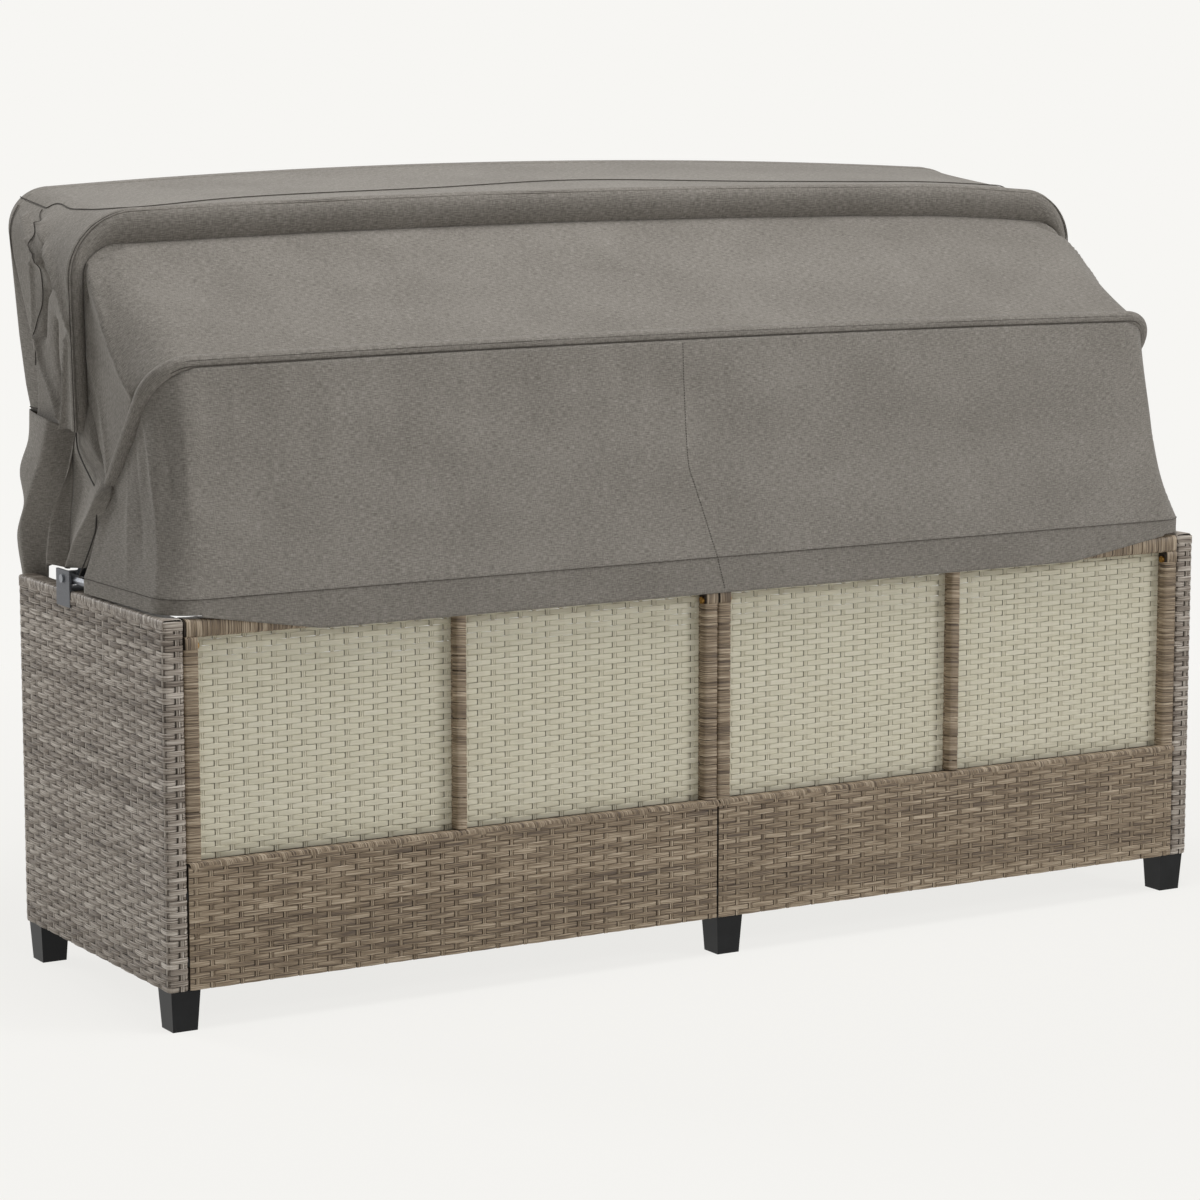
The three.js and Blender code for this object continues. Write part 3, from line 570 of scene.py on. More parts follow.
for end in ("right", "left"):
    woven_board("band", f"back_band_{end}", end, 1)
    node = f"back_rail_{end}"
    finish_node(node, frame_and_shade_core)
    low, high = box_of(node)
    centre = (low + high) / 2
    wound(
        f"rail_winding_{end}", (low[0] + 0.001, centre[1], centre[2]),
        (high[0] - 0.001, centre[1], centre[2]),
        ((high[2] - low[2]) / 2 + 0.0006, (high[1] - low[1]) / 2 + 0.0006), rail_turns, brown_strip,
        (0, 0, 1),
    )
    for post in ("inner", "middle", "outer"):
        node = f"back_post_{post}_{end}"
        finish_node(node, frame_and_shade_core)
        low, high = box_of(node)
        centre = (low + high) / 2
        slim = post == "middle"
        half = (slim_half if slim else (high[0] - low[0]) / 2 + 0.0004, (high[1] - low[1]) / 2 + 0.0004)
        top = high[2] - (0.001 if slim else joint_height)
        winding = wound(
            f"post_winding_{post}_{end}", (centre[0], centre[1], low[2] + 0.001),
            (centre[0], centre[1], top), half, slim_turns if slim else post_turns, brown_strip, (1, 0, 0),
        )
        if slim:
            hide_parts(node)
            slim_centre = centre[0]
        else:
            middle = high[2] - joint_height / 2
            wound(
                f"joint_winding_{post}_{end}", (low[0] + 0.0002, centre[1], middle),
                (high[0] - 0.0002, centre[1], middle), (joint_height / 2, half[1] + 0.0004), joint_turns,
                brown_strip, (0, 0, 1),
            )
    for bay in ("inner", "outer"):
        node = f"cream_panel_{bay}_{end}"
        low, high = box_of(node)
        if low[0] > slim_centre:
            low[0] = slim_centre + slim_half - 0.002
        else:
            high[0] = slim_centre - slim_half + 0.002
        on_bay = flat_face(low, high, (low[1] + high[1]) / 2 + 0.001, 1)
        bay_weave = weave(f"bay_weave_{bay}_{end}", on_bay, high[0] - low[0], high[2] - low[2], cream_strip)
        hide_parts(node)

# Front aprons: woven in the same brown strip below the cushions, with a rolled top edge. The seat decks
# behind them stay plain boards in the dark core colour, which is partly painted shade.
for end in ("right", "left"):
    finish_node(f"seat_deck_{end}", frame_and_shade_core)
    woven_board("apron", f"front_apron_{end}", end, -1)

# Feet and seam spacers: moulded black polypropylene with a fine spark-eroded grain and a soft sheen. The
# feet stand in a back and a front row, and each seam has one spacer low down and one high up.
moulded, moulded_shader, _ = speckled(
    "black_moulded_polypropylene", 30.0, [(0.3, "#0d0e10"), (0.7, "#17181a")], Roughness=0.38,
    Specular_IOR_Level=0.25,
)
spot = add_node(moulded, "TexCoord").outputs["Object"]
grain = add_node(moulded, "TexNoise", {"Scale": 1400.0, "Detail": 1.0}, {"Vector": spot}).outputs["Fac"]
sparked = add_node(moulded, "Bump", {"Strength": 0.3, "Distance": 0.0001}, {"Height": grain})
connect(moulded, sparked.outputs["Normal"], moulded_shader, "Normal")
for row in ("right", "middle", "left"):
    for line in ("back", "front"):
        finish_node(f"foot_{line}_{row}", moulded)
    for level in ("low", "high"):
        finish_node(f"spacer_{level}_{row}", moulded)

# Hardware: powder-coated hoop tube, darker painted brackets, and yellow zinc-plated bolts. The pins have
# the tube's coat, and the bearer under the seats is painted like the brackets.
coated, coated_shader, peel = speckled(
    "grey_powder_coat_on_tube", 700.0, [(0.3, "#83868c"), (0.7, "#9a9da3")], Roughness=0.32, Metallic=0.75
)
peeled = add_node(coated, "Bump", {"Strength": 0.2, "Distance": 0.0001}, {"Height": peel})
connect(coated, peeled.outputs["Normal"], coated_shader, "Normal")
painted, _, _ = speckled(
    "dark_painted_steel", 500.0, [(0.3, "#54565b"), (0.7, "#6c6e74")], Roughness=0.45, Metallic=0.3
)
plated, _, _ = speckled(
    "yellow_zinc_plating", 300.0, [(0.3, "#8a5a2a"), (0.7, "#c9a25a")], Roughness=0.3, Metallic=1.0
)
for hoop_number in range(4):
    finish_node(f"bow_{hoop_number}", coated)
finish_node("centre_bearer", painted)
for end in ("right", "left"):
    finish_node(f"pivot_bracket_{end}", painted)
    finish_node(f"pivot_pin_{end}", coated)
    for bay in ("inner", "outer"):
        finish_node(f"bolt_{bay}_{end}", plated)

# Canopy cloth: solution-dyed polyester canvas in a taupe melange. It is matt with a slight sheen, and
# light and dark threads show as short streaks, most of them along the weft. Each panel is cut from it.
cloth_thickness = 0.0012


def canvas_finish(name, stops, at_uv=True):
    """Plain weave: two noises, one stretched along the weft and one along the warp, pick the tone and
    raise the threads. Threads are drawn 1.2 mm wide, coarser than the real ones, so that they show."""
    material, shader = new_finish(name, Roughness=0.92, Sheen_Weight=0.08, Sheen_Roughness=0.5)
    if at_uv:
        place = add_node(material, "UVMap", uv_map="length").outputs["UV"]
    else:
        place = add_node(material, "TexCoord").outputs["Object"]
    tones = []
    for scale in ((90.0, 850.0, 850.0), (700.0, 130.0, 130.0)):
        mapped = add_node(material, "Mapping", {"Scale": scale}, {"Vector": place}).outputs["Vector"]
        noise = {"Scale": 1.0, "Detail": 1.5, "Roughness": 0.5}
        tones.append(add_node(material, "TexNoise", noise, {"Vector": mapped}).outputs["Fac"])
    threads = add_node(
        material, "Mix", {"Factor": 0.38}, {"A": tones[0], "B": tones[1]}, data_type="FLOAT"
    ).outputs["Result"]
    wide = add_node(material, "Mapping", {"Scale": (6.0, 9.0, 6.0)}, {"Vector": place}).outputs["Vector"]
    mottle = add_node(material, "TexNoise", {"Scale": 1.0, "Detail": 4.0}, {"Vector": wide}).outputs["Fac"]
    share = add_node(
        material, "Mix", {"Factor": 0.15}, {"A": threads, "B": mottle}, data_type="FLOAT"
    ).outputs["Result"]
    colour = add_node(material, "ValToRGB", links={"Fac": share}, stops=stops).outputs["Color"]
    connect(material, colour, shader, "Base Color")
    bump = add_node(material, "Bump", {"Strength": 0.35, "Distance": 0.0004}, {"Height": threads})
    connect(material, bump.outputs["Normal"], shader, "Normal")
    return material


canvas = canvas_finish(
    "taupe_polyester_canvas", [(0.36, "#67625b"), (0.5, "#827d76"), (0.64, "#9b968f")]
)
# Dark thread for seams and stitches. Along the continuous seam lines its darkness is partly painted shade,
# standing for the shadow in each seam's groove.
thread, _, _ = speckled(
    "dark_polyester_thread", 500.0, [(0.3, "#332e29"), (0.7, "#4a453e")], Roughness=0.8
)

# Hoops: each is a bent tube, given by its reach from the pin, its angle above the back, how far its legs
# spread, its corner radius and its arch. The cloth is laid out from them.
half_length = 1.0
tube_radius = 0.008
eye_pitch = 0.018
hoops = [
    {"reach": 0.377, "angle": 0.0, "spread": -0.008, "corner": 0.050, "arch": 0.0},
    {"reach": 0.458, "angle": 51.0, "spread": -0.004, "corner": 0.060, "arch": 0.009},
    {"reach": 0.573, "angle": 87.7, "spread": 0.020, "corner": 0.090, "arch": 0.013},
    {"reach": 0.668, "angle": 116.4, "spread": 0.015, "corner": 0.070, "arch": 0.028},
]
for number, hoop in enumerate(hoops):
    hoop["foot"] = half_length - tube_radius - number * eye_pitch
    hoop["angle"] = math.radians(hoop["angle"])
    hoop["body"] = ["base", "rear_hoop", "middle_hoop", "front_hoop"][number]
leg_steps, corner_steps, cross_steps = 48, 24, 180
corner_start, corner_end = leg_steps, leg_steps + corner_steps
hoop_steps = 2 * corner_end + cross_steps + 1
columns = np.arange(hoop_steps)
from_end = np.minimum(columns, hoop_steps - 1 - columns)
last_column = hoop_steps - 1


def hoop_line(hoop, start, out=0.0, ahead=0.0, corner=None):
    """A line beside a hoop from its right leg over the crossbar to its left leg: straight legs, quarter
    circles and a parabolic arch, moved out of the hoop in its plane and ahead of the plane. A larger
    corner radius cuts the corners. Returns the points and the directions out and ahead."""
    radius = corner or hoop["corner"]
    top = hoop["reach"] - radius
    leg = start + (top - start) * np.linspace(0, 1, leg_steps, endpoint=False)
    slope = hoop["spread"] / (hoop["reach"] - hoop["corner"])
    turn = np.linspace(0, math.pi / 2, corner_steps, endpoint=False)
    inner = hoop["foot"] + slope * top - radius
    s = np.linspace(1, -1, cross_steps + 1)
    half_x = np.concatenate([hoop["foot"] + slope * leg, inner + radius * np.cos(turn)])
    half_reach = np.concatenate([leg, top + radius * np.sin(turn)])
    x = np.concatenate([half_x, inner * s, -half_x[::-1]])
    reach = np.concatenate([half_reach, hoop["reach"] + hoop["arch"] * (1 - s * s), half_reach[::-1]])
    side = np.concatenate([np.ones(leg_steps), np.cos(turn)])
    up = np.concatenate([np.zeros(leg_steps), np.sin(turn)])
    out_x = np.concatenate([side, 0 * s, -side[::-1]])
    out_reach = np.concatenate([up, 0 * s + 1, up[::-1]])
    away = np.array([0, math.cos(hoop["angle"]), math.sin(hoop["angle"])])
    forward = np.array([0, -math.sin(hoop["angle"]), math.cos(hoop["angle"])])
    outs = out_reach[:, None] * away
    outs[:, 0] = out_x
    points = hub + reach[:, None] * away
    points[:, 0] = x
    points = points + outs * np.reshape(out, (-1, 1)) + forward * np.reshape(ahead, (-1, 1))
    return points, outs, np.broadcast_to(forward, points.shape)


def beside_hoop(number, start, out=0.0, ahead=0.0, corner=None):
    """The points of such a line beside the hoop of that number."""
    return hoop_line(hoops[number], start, out, ahead, corner)[0]


def between(leg, bar):
    """A value for each column of a hoop: one on the legs and one on the crossbar, eased at the corners."""
    share = np.clip((from_end - corner_start) / corner_steps, 0, 1)
    return leg + (bar - leg) * share * share * (3 - 2 * share)


# Sleeves: tunnels of cloth that the hoops run through, sewn where two panels meet. The second hoop's is a
# deep roll that hangs below its tube, crumpled flatter at the far end. Each is gathered at its corners.
def ripple(u, v, seed, size):
    """Smooth uneven cloth: the mean of eight sine waves whose directions, lengths and phases come from
    the seed. Their lengths are about the size."""
    pick = np.random.default_rng(seed)
    total = 0
    for _ in range(8):
        heading, rate = pick.uniform(0, math.pi), 2 * math.pi / (size * pick.uniform(0.5, 1.6))
        total = total + np.sin(rate * (u * math.cos(heading) + v * math.sin(heading)) + pick.uniform(0, 6.3))
    return total / 8


def lengths(points, axis):
    """Distance run along one direction of a grid of points, from nought at its start."""
    run = np.cumsum(np.linalg.norm(np.diff(points, axis=axis), axis=2), axis=axis)
    return np.concatenate([0 * (run[:1] if axis == 0 else run[:, :1]), run], axis=axis)


def thicken(piece):
    """Gives a sheet the cloth's thickness, inwards."""
    solid = piece.modifiers.new("thickness", "SOLIDIFY")
    solid.thickness = cloth_thickness
    solid.offset = -1


def sleeve(number, start, half_out, half_ahead, centre, puff, seed, lean=0.0):
    """A tunnel round a hoop: an ellipse carried along its line, with its centre moved out of the hoop and
    its outer side leant back. Slow ripples and, at the corners, close gathers change its size."""
    hoop = hoops[number]
    line, out, ahead = hoop_line(hoop, start, out=centre)
    turn = np.linspace(0, 2 * math.pi, 40, endpoint=False)
    reach = lengths(line[:, None], 0)
    near = np.exp(-(((from_end - corner_start - 10) / 11.0) ** 2))[:, None]
    inner_side = 0.5 - 0.5 * np.cos(turn)[None]
    gather = np.sin(reach * 430 + 2.0 * np.sin(turn * 2)[None]) * near * inner_side
    slack = ripple(reach, turn[None] * 0.02, seed, 0.22)
    size = 1 + puff * (slack * (0.4 + inner_side) + 0.8 * gather)
    half_ahead, lean = np.reshape(half_ahead, (-1, 1)), np.reshape(lean, (-1, 1))
    points = line[:, None] + size[..., None] * (
        (np.reshape(half_out, (-1, 1)) * np.cos(turn))[..., None] * out[:, None]
        + (half_ahead * np.sin(turn) - lean * np.cos(turn))[..., None] * ahead[:, None]
    )
    uv = np.zeros((1, len(line), len(turn) + 1, 2))
    uv[0, :, :, 0] = reach
    uv[0, :, :, 1] = np.linspace(0, math.pi * float(np.mean(half_out) + np.mean(half_ahead)), len(turn) + 1)
    piece = surface(f"sleeve_{number}", points[None, :, ::-1], uv=uv, capped=False, sharp=75)
    thicken(piece)
    dress(piece, canvas)
    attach(piece, hoop["body"])
    return piece


rear_start, middle_start, roof_start = 0.206, 0.237, 0.284
far_end = np.clip((columns - (last_column - corner_end - 24)) / 40.0, 0, 1)
far_end = far_end * far_end * (3 - 2 * far_end)
roll_centre = between(0.0065, -0.0140) - 0.0135 * far_end
roll_half = between(0.0135, 0.0340) - 0.001 * far_end
roll_top = roll_centre + roll_half
sleeve(1, rear_start, between(0.0125, 0.0165), between(0.0125, 0.012), between(0.0, 0.0065), 0.05, 3)
sleeve(2, middle_start, roll_half - 0.001, between(0.0155, 0.018), roll_centre, 0.07, 5, between(0.0, 0.009))
sleeve(3, roof_start, between(0.0160, 0.0125), 0.0115, 0.001, 0.03, 8)

# Welts and seams of the sleeves: a corded welt along the top of the second hoop's roll, and two stitched
# seams along the first hoop's sleeve. Their dark thread lines are partly painted shade of the seams' grooves.


def sewn_line(name, line, radius=0.0008, material=None):
    """A seam or welt: a thin tube along a line of cloth. In the dark thread it is partly painted shade, the
    shadow in the seam's groove.
    """
    piece = tube(name, line, radius, sides=6)
    return dress(piece, material or thread)


welt_line = beside_hoop(
    2, middle_start, out=roll_top - between(0.0006, 0.0045), ahead=between(-0.0135, -0.0172)
)
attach(sewn_line("roll_welt", welt_line, 0.0013, canvas), "middle_hoop")
seam_line = beside_hoop(
    2, middle_start, out=roll_top - between(-0.0010, 0.0030), ahead=between(-0.0110, -0.0152)
)
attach(sewn_line("roll_welt_stitching", seam_line, 0.0005), "middle_hoop")
for name, out, ahead in (("upper", between(-0.0010, 0.0215), between(-0.0128, -0.0062)),
                         ("lower", between(-0.0060, 0.0150), between(-0.0115, -0.0122))):
    seam_line = beside_hoop(1, rear_start, out, ahead)
    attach(sewn_line(f"rear_sleeve_{name}_stitching", seam_line, 0.0007), "rear_hoop")

# Panels: each is one curved sheet, drawn tight from the hoop below to the hoop above. A fold stands where
# it turns from the back to the end, and soft ripples run down from its gathered upper seam.
panel_rows = 72


def turn_between(piece):
    """Bakes the piece's placement into its mesh."""
    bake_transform(piece)


def outward(points):
    """Unit normals of a grid, from the cross product of its two directions."""
    return unit(np.cross(np.gradient(points, axis=0), np.gradient(points, axis=1)))


def panel(low, high, seed, sag, rough, gathers):
    """Straight rulings from the low line to the high line. Each point then moves along the normal by a
    sag that is largest midway, by slow ripples, and by upright gathers that fade below the upper seam."""
    t = np.linspace(0, 1, panel_rows + 1)
    points = low[:, None] * (1 - t)[None, :, None] + high[:, None] * t[None, :, None]
    u, v = lengths(points, 0), lengths(points, 1)
    bow = 4 * t * (1 - t)
    move = -np.reshape(sag, (-1, 1)) * bow + rough * ripple(u, v, seed, 0.45) * np.sqrt(bow)
    upright = ripple(u, v * 0.12, seed + 1, 0.11) + 0.5 * ripple(u, v * 0.1, seed + 2, 0.045)
    move = move + gathers * upright * (np.exp(-((1 - t) / 0.22)) * (1 - t) * 9)
    return points + outward(points) * move[..., None]


# Middle panel, from the first hoop's sleeve up into the second hoop's roll. One tight crease runs from
# shoulder to shoulder, and a second marks the panel's front edge.


def on_sheet(points, column, row):
    """Points of a sheet at columns and rows that may lie between its grid lines, by linear steps."""
    column, row = np.broadcast_arrays(np.asarray(column, float), np.asarray(row, float))
    i = np.clip(column.astype(int), 0, points.shape[0] - 2)
    k = np.clip(row.astype(int), 0, points.shape[1] - 2)
    a, b = (column - i)[:, None], (row - k)[:, None]
    low = points[i, k] * (1 - a) + points[i + 1, k] * a
    high = points[i, k + 1] * (1 - a) + points[i + 1, k + 1] * a
    return low * (1 - b) + high * b


def fold(points, knots, height, width, mirrored=True):
    """Raises a fold, or sinks one where the height is negative, along a smooth line through knots of
    column and row. The move falls off as e to the minus distance over the width, and fades to nothing
    where the cloth is held at its first and last rows. The left end has the same fold, mirrored."""
    rows = points.shape[1] - 1
    held = (4 * np.linspace(0, 1, rows + 1) * (1 - np.linspace(0, 1, rows + 1))) ** 0.35
    route = spline(knots, 48)
    sides = [route, route * (-1, 1) + (points.shape[0] - 1, 0)] if mirrored else [route]
    for path in sides:
        near = np.full(points.shape[:2], np.inf)
        for spot in on_sheet(points, path[:, 0], path[:, 1]):
            near = np.minimum(near, np.linalg.norm(points - spot, axis=2))
        points = points + outward(points) * (height * held * np.exp(-near / width))[..., None]
    return points


def cloth(name, points):
    """A sheet over a grid of points, with UVs in metres and its thickness added inwards. Its UVs give the
    size that it was cut to, which is its mean width and length as it hangs."""
    u, v = lengths(points, 0), lengths(points, 1)
    uv = np.stack([np.broadcast_to(u.mean(axis=1)[:, None], v.shape), v], axis=-1)
    piece = surface(name, points[None], uv=uv[None], ring=False, sharp=75)
    thicken(piece)
    dress(piece, canvas)
    return piece


low = beside_hoop(1, rear_start, out=between(0.004, 0.0135), ahead=0.0115, corner=0.066)
high = beside_hoop(
    2, middle_start, out=roll_centre - between(0.0105, 0.0220), ahead=between(-0.0095, -0.0072)
)
middle_points = panel(low, high, 21, 0.004, 0.003, 0.0045)
for knots, height, width in (
    ([(47, 0), (50, 36), (53, 72)], 0.016, 0.022),
    ([(47, 2), (50, 36), (53, 70)], 0.006, 0.006),
    ([(3, 4), (10, 22), (18, 44), (25, 66)], 0.007, 0.010),
    ([(44, 68), (51, 70), (58, 68), (66, 70)], -0.016, 0.009),
    ([(68, 69), (72, 60), (75, 52)], 0.004, 0.006),
):
    middle_points = fold(middle_points, knots, height, width)
middle_points = fold(middle_points, [(149, 44), (156, 39), (160, 36)], -0.0022, 0.006, mirrored=False)
middle_panel = cloth("middle_panel", middle_points)
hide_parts("canopy_middle")
turn_between(middle_panel)

# Roof panel, from the welt of the second hoop's roll over the front hoop. Its lower front corners stand
# off as lips, and slack folds run down its ends.


def seam_on(points, knots, steps, lift):
    """A smooth line through knots of column and row on a sheet, lifted along its normals."""
    route = spline(knots, steps)
    return on_sheet(points, *route.T) + lift * on_sheet(outward(points), *route.T)


low = beside_hoop(
    2, middle_start, out=roll_top - between(0, 0.0036), ahead=between(-0.0105, -0.0150)
)
high = beside_hoop(3, roof_start, out=between(0.0195, 0.0215), ahead=0.0080)
roof_points = panel(low, high, 33, 0.004, 0.0025, 0.0)
front_seam = roof_points[:, -1].copy()
roof_share = np.linspace(0, 1, panel_rows + 1)[None]
lip = roof_share**2 * np.exp(-from_end[:, None] / 7.0)
roof_points = roof_points + lip[..., None] * np.array([0, -0.042, -0.034])
roof_points[..., 0] += np.sign(roof_points[..., 0]) * lip * 0.012
for knots, height, width in (
    ([(56, 39), (46, 16), (33, 2)], 0.018, 0.011),
    ([(56, 57), (51, 46), (47, 34)], 0.016, 0.008),
    ([(52, 30), (42, 30), (36, 40), (24, 52)], -0.014, 0.009),
    ([(22, 62), (15, 58), (9, 45), (3, 33)], 0.014, 0.007),
    ([(28, 6), (17, 13), (7, 20), (0, 26)], 0.013, 0.007),
    ([(30, 28), (18, 34), (8, 30)], -0.012, 0.009),
    ([(44, 50), (32, 58), (22, 68)], 0.008, 0.006),
):
    roof_points = fold(roof_points, knots, height, width)
roof_panel = cloth("roof_panel", roof_points)
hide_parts("canopy_roof")
turn_between(roof_panel)
roof_seams = {
    "across": [(62, 47), (65, 43), (65, 27), (72, 7), (95, 16), (126, 19), (160, 27), (196, 18), (229, 17),
               (258, 24), (265, 46)],
    "top_right": [(62, 72), (62, 60), (62, 47)],
    "side_right": [(61, 49), (59, 47), (56, 39), (51, 43), (48, 36), (44, 37), (33, 47), (25, 60), (14, 72)],
}
for name in ("top", "side"):
    roof_seams[f"{name}_left"] = [(last_column - column, row) for column, row in roof_seams[f"{name}_right"]]
# Dark thread lines along the roof's seams: partly painted shade of their grooves.
for name, knots in roof_seams.items():
    stitching_and_seam_shade = sewn_line(f"roof_{name}_stitching", seam_on(roof_points, knots, 260, 0.0013), 0.0009)
    turn_between(stitching_and_seam_shade)

# Rear panel, from its hem band outside the back rail up to the first hoop's sleeve. Tight creases run
# down from its gathered shoulders, and a stitched seam joins its two halves.


def stitches(name, line, pitch=0.0045, radius=0.0006):
    """A row of stitches: short round threads laid along a line, with a gap after each."""
    reach = run_along(line)
    starts = np.arange(0, reach[-1] - pitch, pitch)
    spots = starts[:, None] + pitch * np.array([0.12, 0.2, 0.62, 0.7])
    middle = np.stack([np.interp(spots, reach, line[:, n]) for n in range(3)], axis=-1)
    along = unit(middle[:, -1:] - middle[:, :1])
    side, up = square_to(along)
    turn = np.linspace(0, 2 * math.pi, 6, endpoint=False)[:, None]
    ring = np.cos(turn) * side[:, :, None] + np.sin(turn) * up[:, :, None]
    size = radius * np.array([0.4, 1.0, 1.0, 0.4])[:, None, None]
    piece = surface(name, (middle[:, :, None] + ring * size)[:, :, ::-1])
    return dress(piece, thread)


hem_standoff = 0.0123
hem_rise = 0.010
hem_drop_end, hem_drop_corner, hem_drop_back = 0.014, 0.018, 0.050
hem_fall_width = 0.2
hem_rows = 14
hem_line = beside_hoop(0, 0.082, out=hem_standoff)
hem_line[:, 2] += hem_rise
over_leg = np.exp(-((from_end / 9.0) ** 2))
high = beside_hoop(
    1, 0.202, out=between(-0.002, 0.0135) + 0.0125 * over_leg,
    ahead=between(-0.0090, -0.0134) + 0.004 * over_leg, corner=0.072,
)
corner_sag = 0.010 * np.exp(-(((from_end - corner_start - 8) / 14.0) ** 2))
rear_points = panel(hem_line, high, 45, 0.003 + corner_sag, 0.0025, 0.0055)
t = np.linspace(0, 1, panel_rows + 1)
rear_points[..., 0] += 0.008 * far_end[:, None] * np.exp(-(((t - 0.25) / 0.25) ** 2))
for knots, height, width in (
    ([(46, 72), (49, 50), (52, 28), (53, 0)], 0.007, 0.009),
    ([(66, 71), (67, 48), (68, 26)], 0.0030, 0.008),
    ([(56, 70), (58, 52), (60, 34)], -0.0035, 0.008),
    ([(34, 70), (37, 44), (40, 16)], -0.0035, 0.012),
    ([(24, 68), (28, 40), (31, 8)], 0.0035, 0.010),
):
    rear_points = fold(rear_points, knots, height, width)
hem_inset = hoops[0]["foot"] + hoops[0]["spread"] - hoops[0]["corner"]
fall = np.clip((hem_inset - np.abs(hem_line[:, 0])) / hem_fall_width, 0, 1)
back_drop = hem_drop_corner + (hem_drop_back - hem_drop_corner) * fall
drop = np.where(from_end >= corner_end, back_drop, hem_drop_end) + hem_rise
band_share = np.linspace(1, 0, hem_rows + 1)[:-1]
hem_band = rear_points[:, :1] - drop[:, None, None] * band_share[None, :, None] * np.array([0, 0, 1.0])
u, v = lengths(hem_band, 0), lengths(hem_band, 1)
pucker = 0.0013 * ripple(u + 0.5 * v, 0.3 * v, 71, 0.035) * np.sin(math.pi * band_share)
hem_band = hem_band + outward(hem_band) * pucker[..., None]
rear_points = np.concatenate([hem_band, rear_points], axis=1)
rear_panel = cloth("rear_panel", rear_points)
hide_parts("canopy_rear")
turn_between(rear_panel)
# The hem seam's dark thread line is partly painted shade of its groove.
hem_seam = rear_points[:, hem_rows] + outward(rear_points)[:, hem_rows] * 0.0005
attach(sewn_line("hem_stitching", hem_seam, 0.0005), "base")
centre_knots = [(159.3, 85), (158.8, 71), (158.2, 47), (158.8, 39), (160, 28), (161.5, 14), (163, 1)]
centre_seam = stitches("rear_centre_stitches", seam_on(rear_points, centre_knots, 200, 0.0005))
turn_between(centre_seam)

# Valance: a straight flap of the roof cloth that hangs from the front hoop's crossbar. It ripples more
# towards its free edge, which has a stitched hem.
front_line = beside_hoop(3, roof_start)
edge = front_line[corner_start + 9 : last_column - corner_start - 8]
valance_drop = 0.080
fall = np.linspace(valance_drop, 0, 21)
flap = edge[:, None] + np.array([0, -0.0140, 0]) - fall[None, :, None] * np.array([0, 0, 1.0])
flap[..., 1] += 0.004 * ripple(edge[:, None, 0], fall[None] * 0.3, 51, 0.16) * (fall / valance_drop)[None]
valance = cloth("valance", flap[::-1])
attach(valance, "front_hoop")
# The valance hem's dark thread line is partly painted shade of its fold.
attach(sewn_line("valance_hem_stitching", flap[:, 3] - (0, 0.0006, 0)), "front_hoop")

# End curtains: each hangs from the front hoop's sleeve as a strip that turns the front corner. Below a
# cross seam it widens into a skirt, which falls in deep slanting folds to the end panel. Its last fold is
# a tail that hangs from the first hoop's sleeve.
# Fold lines run from the seam down to the hem: height, y and x in millimetres.
fold_lines = [
    [(915, -262, 800), (830, -275, 800), (760, -285, 800), (690, -290, 805)],
    [(915, -266, 885), (830, -280, 886), (760, -290, 890), (660, -292, 893)],
    [(920, -252, 967), (870, -255, 969), (815, -280, 975), (757, -262, 972), (705, -290, 975),
     (638, -268, 975)],
    [(915, -115, 992), (850, -138, 996), (800, -180, 996), (725, -245, 990), (640, -245, 984)],
    [(900, -85, 956), (820, -110, 956), (765, -150, 958), (705, -195, 960), (640, -205, 960)],
    [(900, -45, 972), (838, -42, 988), (800, -72, 992), (762, -106, 992), (700, -134, 990), (675, -145, 986)],
    [(930, -50, 962), (870, -46, 978), (838, -48, 977), (800, -68, 970), (762, -86, 966), (672, -104, 964)],
    [(965, -40, 960), (900, -22, 976), (868, -5, 977), (838, 18, 976), (780, 4, 980), (732, -32, 983),
     (678, -62, 984)],
    [(975, -20, 958), (900, 14, 973), (870, 40, 973), (846, 72, 972), (820, 94, 997), (780, 62, 1001),
     (732, 6, 1001), (683, -41, 998)],
    [(975, 10, 950), (890, 40, 958), (850, 80, 963), (825, 116, 982), (790, 97, 985), (730, 49, 985),
     (688, 14, 984)],
    [(965, 20, 946), (880, 48, 953), (850, 78, 956), (822, 112, 972), (785, 92, 983.5), (730, 46, 983.5),
     (694, 12, 983)],
]


def across_lines(lines, steps):
    """Joins lines at even steps between them. Half of the way is straight and half is a cubic through
    the lines, so that the folds have fairly sharp crests."""
    t = np.linspace(0, 1, steps, endpoint=False)[None, :, None, None]
    curve, first, second = cubics(lines, t)
    mixed = 0.5 * (curve + first * (1 - t) + second * t)
    return np.concatenate([mixed.reshape(-1, *lines.shape[1:]), lines[-1:]])


# Column of the valley where the cloth is cut into skirt and tail
valley = 60
skirt_lines = [spline(np.array(line, float)[:, ::-1] / 1000, 70)[::-1] for line in fold_lines]
skirt_points = across_lines(np.stack(skirt_lines), 10)

# The strip: each level runs along the front, round the corner and back to the front hoop's leg. The front
# edge leans forward as it rises.
strip_round = 0.022
strip_inner = 0.085
turn_start, turn_share, turn_end, back_share = 0.30, 0.24, 0.54, 0.46
edge_points = front_seam[: corner_start + 12] - (0.0025, 0, 0)
edge_points = edge_points[edge_points[:, 2] > 0.906]
front_y = np.interp(
    edge_points[:, 2], [0.90, 0.96, 1.04, 1.11, 1.20, 1.27], [-0.256, -0.281, -0.300, -0.310, -0.323, -0.340]
)
corner_y = np.minimum(front_y, edge_points[:, 1] - 0.004)
plan = np.linspace(0, 1, 60)[:, None]
bend = np.clip((plan - turn_start) / turn_share, 0, 1) * math.pi / 2
side_x = np.maximum(edge_points[:, 0], 0.90)[None] + 0.004 * np.sin(math.pi * plan)
x = np.where(
    plan < turn_start,
    side_x - strip_inner + (strip_inner - strip_round) * plan / turn_start,
    side_x - strip_round + strip_round * np.sin(bend),
)
near_corner = corner_y + strip_round * (1 - np.cos(bend))
